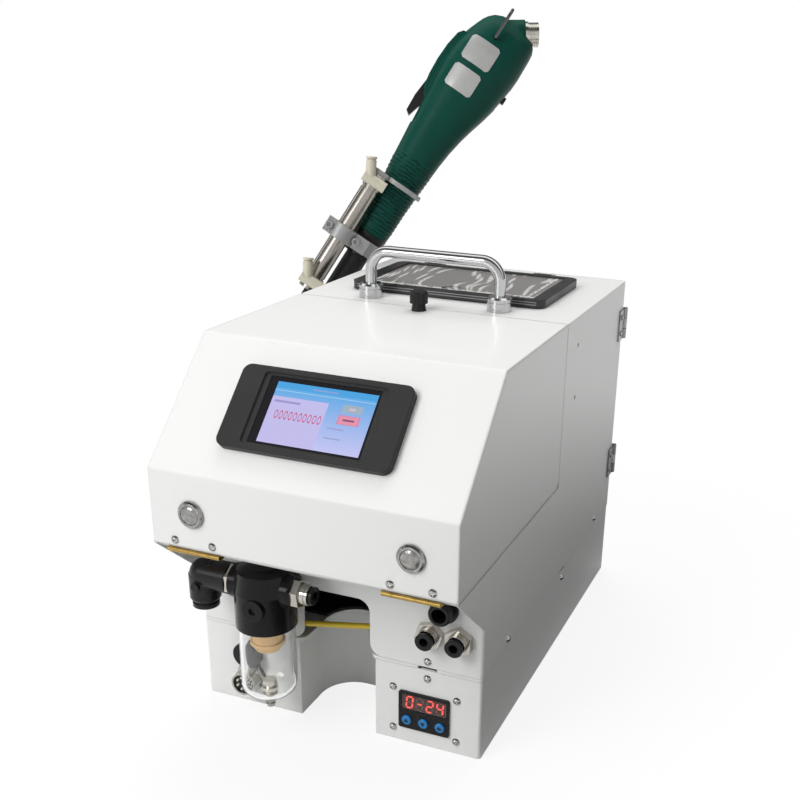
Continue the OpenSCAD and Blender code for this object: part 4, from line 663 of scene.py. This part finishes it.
# the grooves carry painted shade and the crests a painted highlight
repaint(calc("MULTIPLY", calc("LESS_THAN", ribs, -0.25), 0.6), (0.0010, 0.018, 0.017))
repaint(calc("MULTIPLY", calc("GREATER_THAN", ribs, 0.8), 0.35), (0.012, 0.110, 0.085))
ribbed = tree.nodes.new("ShaderNodeBump")
ribbed.inputs["Strength"].default_value = 0.55
ribbed.inputs["Distance"].default_value = 0.0006
tree.links.new(ribs, ribbed.inputs["Height"])
tree.links.new(tree.nodes["relief"].outputs["Normal"], ribbed.inputs["Normal"])
tree.links.new(ribbed.outputs["Normal"], tree.nodes["Principled BSDF"].inputs["Normal"])
dress(green, "driver_body")
body = nodes["driver_body"].data
skin = BVHTree.FromPolygons([v.co for v in body.vertices], [p.vertices for p in body.polygons])
plate_foil = finish("plate_foil", (0.46, 0.46, 0.45), 0.34, 0.25, wear_and_reflection=(0.40, 0.40, 0.39), patch=120,
                    grain=900, edge=0)
across_n, along_n = 14, 11
corner_cut, corner_share, foil_proud, outside = 0.0022, 0.12, 0.0004, 0.06
outward = driver_turn @ Vector((0, -1, 0))
for name, w0, w1, s0, s1 in (("plate_upper", -0.0165, 0.0100, 0.2085, 0.2300),
                             ("plate_lower", -0.0165, 0.0085, 0.1840, 0.2035)):
    foil = bmesh.new()
    rows = []
    for j in range(along_n + 1):
        row = []
        for i in range(across_n + 1):
            a, b = i / across_n, j / along_n
            # the corners are cut round
            inset = corner_cut * max(0, 1 - min(b, 1 - b) / corner_share) ** 2
            w = w0 + inset + (w1 - w0 - 2 * inset) * a
            start = driver_foot + driver_turn @ Vector((w, -outside, s0 + (s1 - s0) * b))
            hit = skin.ray_cast(start, -outward, 2 * outside)[0]
            row.append(foil.verts.new(hit + foil_proud * outward))
        rows.append(row)
    for j in range(along_n):
        for i in range(across_n):
            foil.faces.new((rows[j][i], rows[j][i + 1], rows[j + 1][i + 1], rows[j + 1][i])).smooth = True
    foil_mesh = bpy.data.meshes.new(name)
    foil.to_mesh(foil_mesh)
    foil.free()
    plate = bpy.data.objects.new(name, foil_mesh)
    plate.data.materials.append(plate_foil)
    scene.collection.objects.link(plate)
    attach(plate, "driver")
dress(black_plastic, "driver_collar", "driver_lever", "driver_switch")
dress(finish("dark_wire", (0.10, 0.10, 0.10), 0.35, 1.0, wear_and_reflection=(0.16, 0.16, 0.16), patch=200), "driver_bail")
dress(nickel, "driver_plug")

# Nozzle drive on the driver: a grey anodised clamp, a drawn stainless pen cylinder with ivory moulded
# fittings, a black acetal sleeve and the steel bit inside it.
dress(finish("grey_anodised", (0.34, 0.345, 0.34), 0.4, 0.7, wear_and_reflection=(0.40, 0.405, 0.40), patch=70, grain=800,
             edge=0.0008), "driver_clamp")
dress(finish("drawn_tube", (0.47, 0.44, 0.40), 0.24, 1.0, wear_and_reflection=(0.40, 0.37, 0.34), patch=40, grain=1500,
             relief=0.01), "pen_cylinder")
dress(finish("ivory_plastic", (0.66, 0.62, 0.50), 0.36, wear_and_reflection=(0.58, 0.54, 0.43), patch=150, edge=0.0004),
      "cylinder_fittings")
dress(finish("black_acetal", (0.010, 0.010, 0.011), 0.55, wear_and_reflection=(0.016, 0.016, 0.017), patch=60, gloss=0.3),
      "nozzle_sleeve")
dress(turned, "driver_bit")

# Holder of the driver: a bracket of steel, coated black and screwed to the left panel, with a slanted
# cup that carries the driver.
dress(finish("black_coat", (0.014, 0.014, 0.015), 0.45, wear_and_reflection=(0.02, 0.02, 0.021), patch=40, grain=900,
             relief=0.1, edge=0.0005), "driver_holder")

low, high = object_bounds()
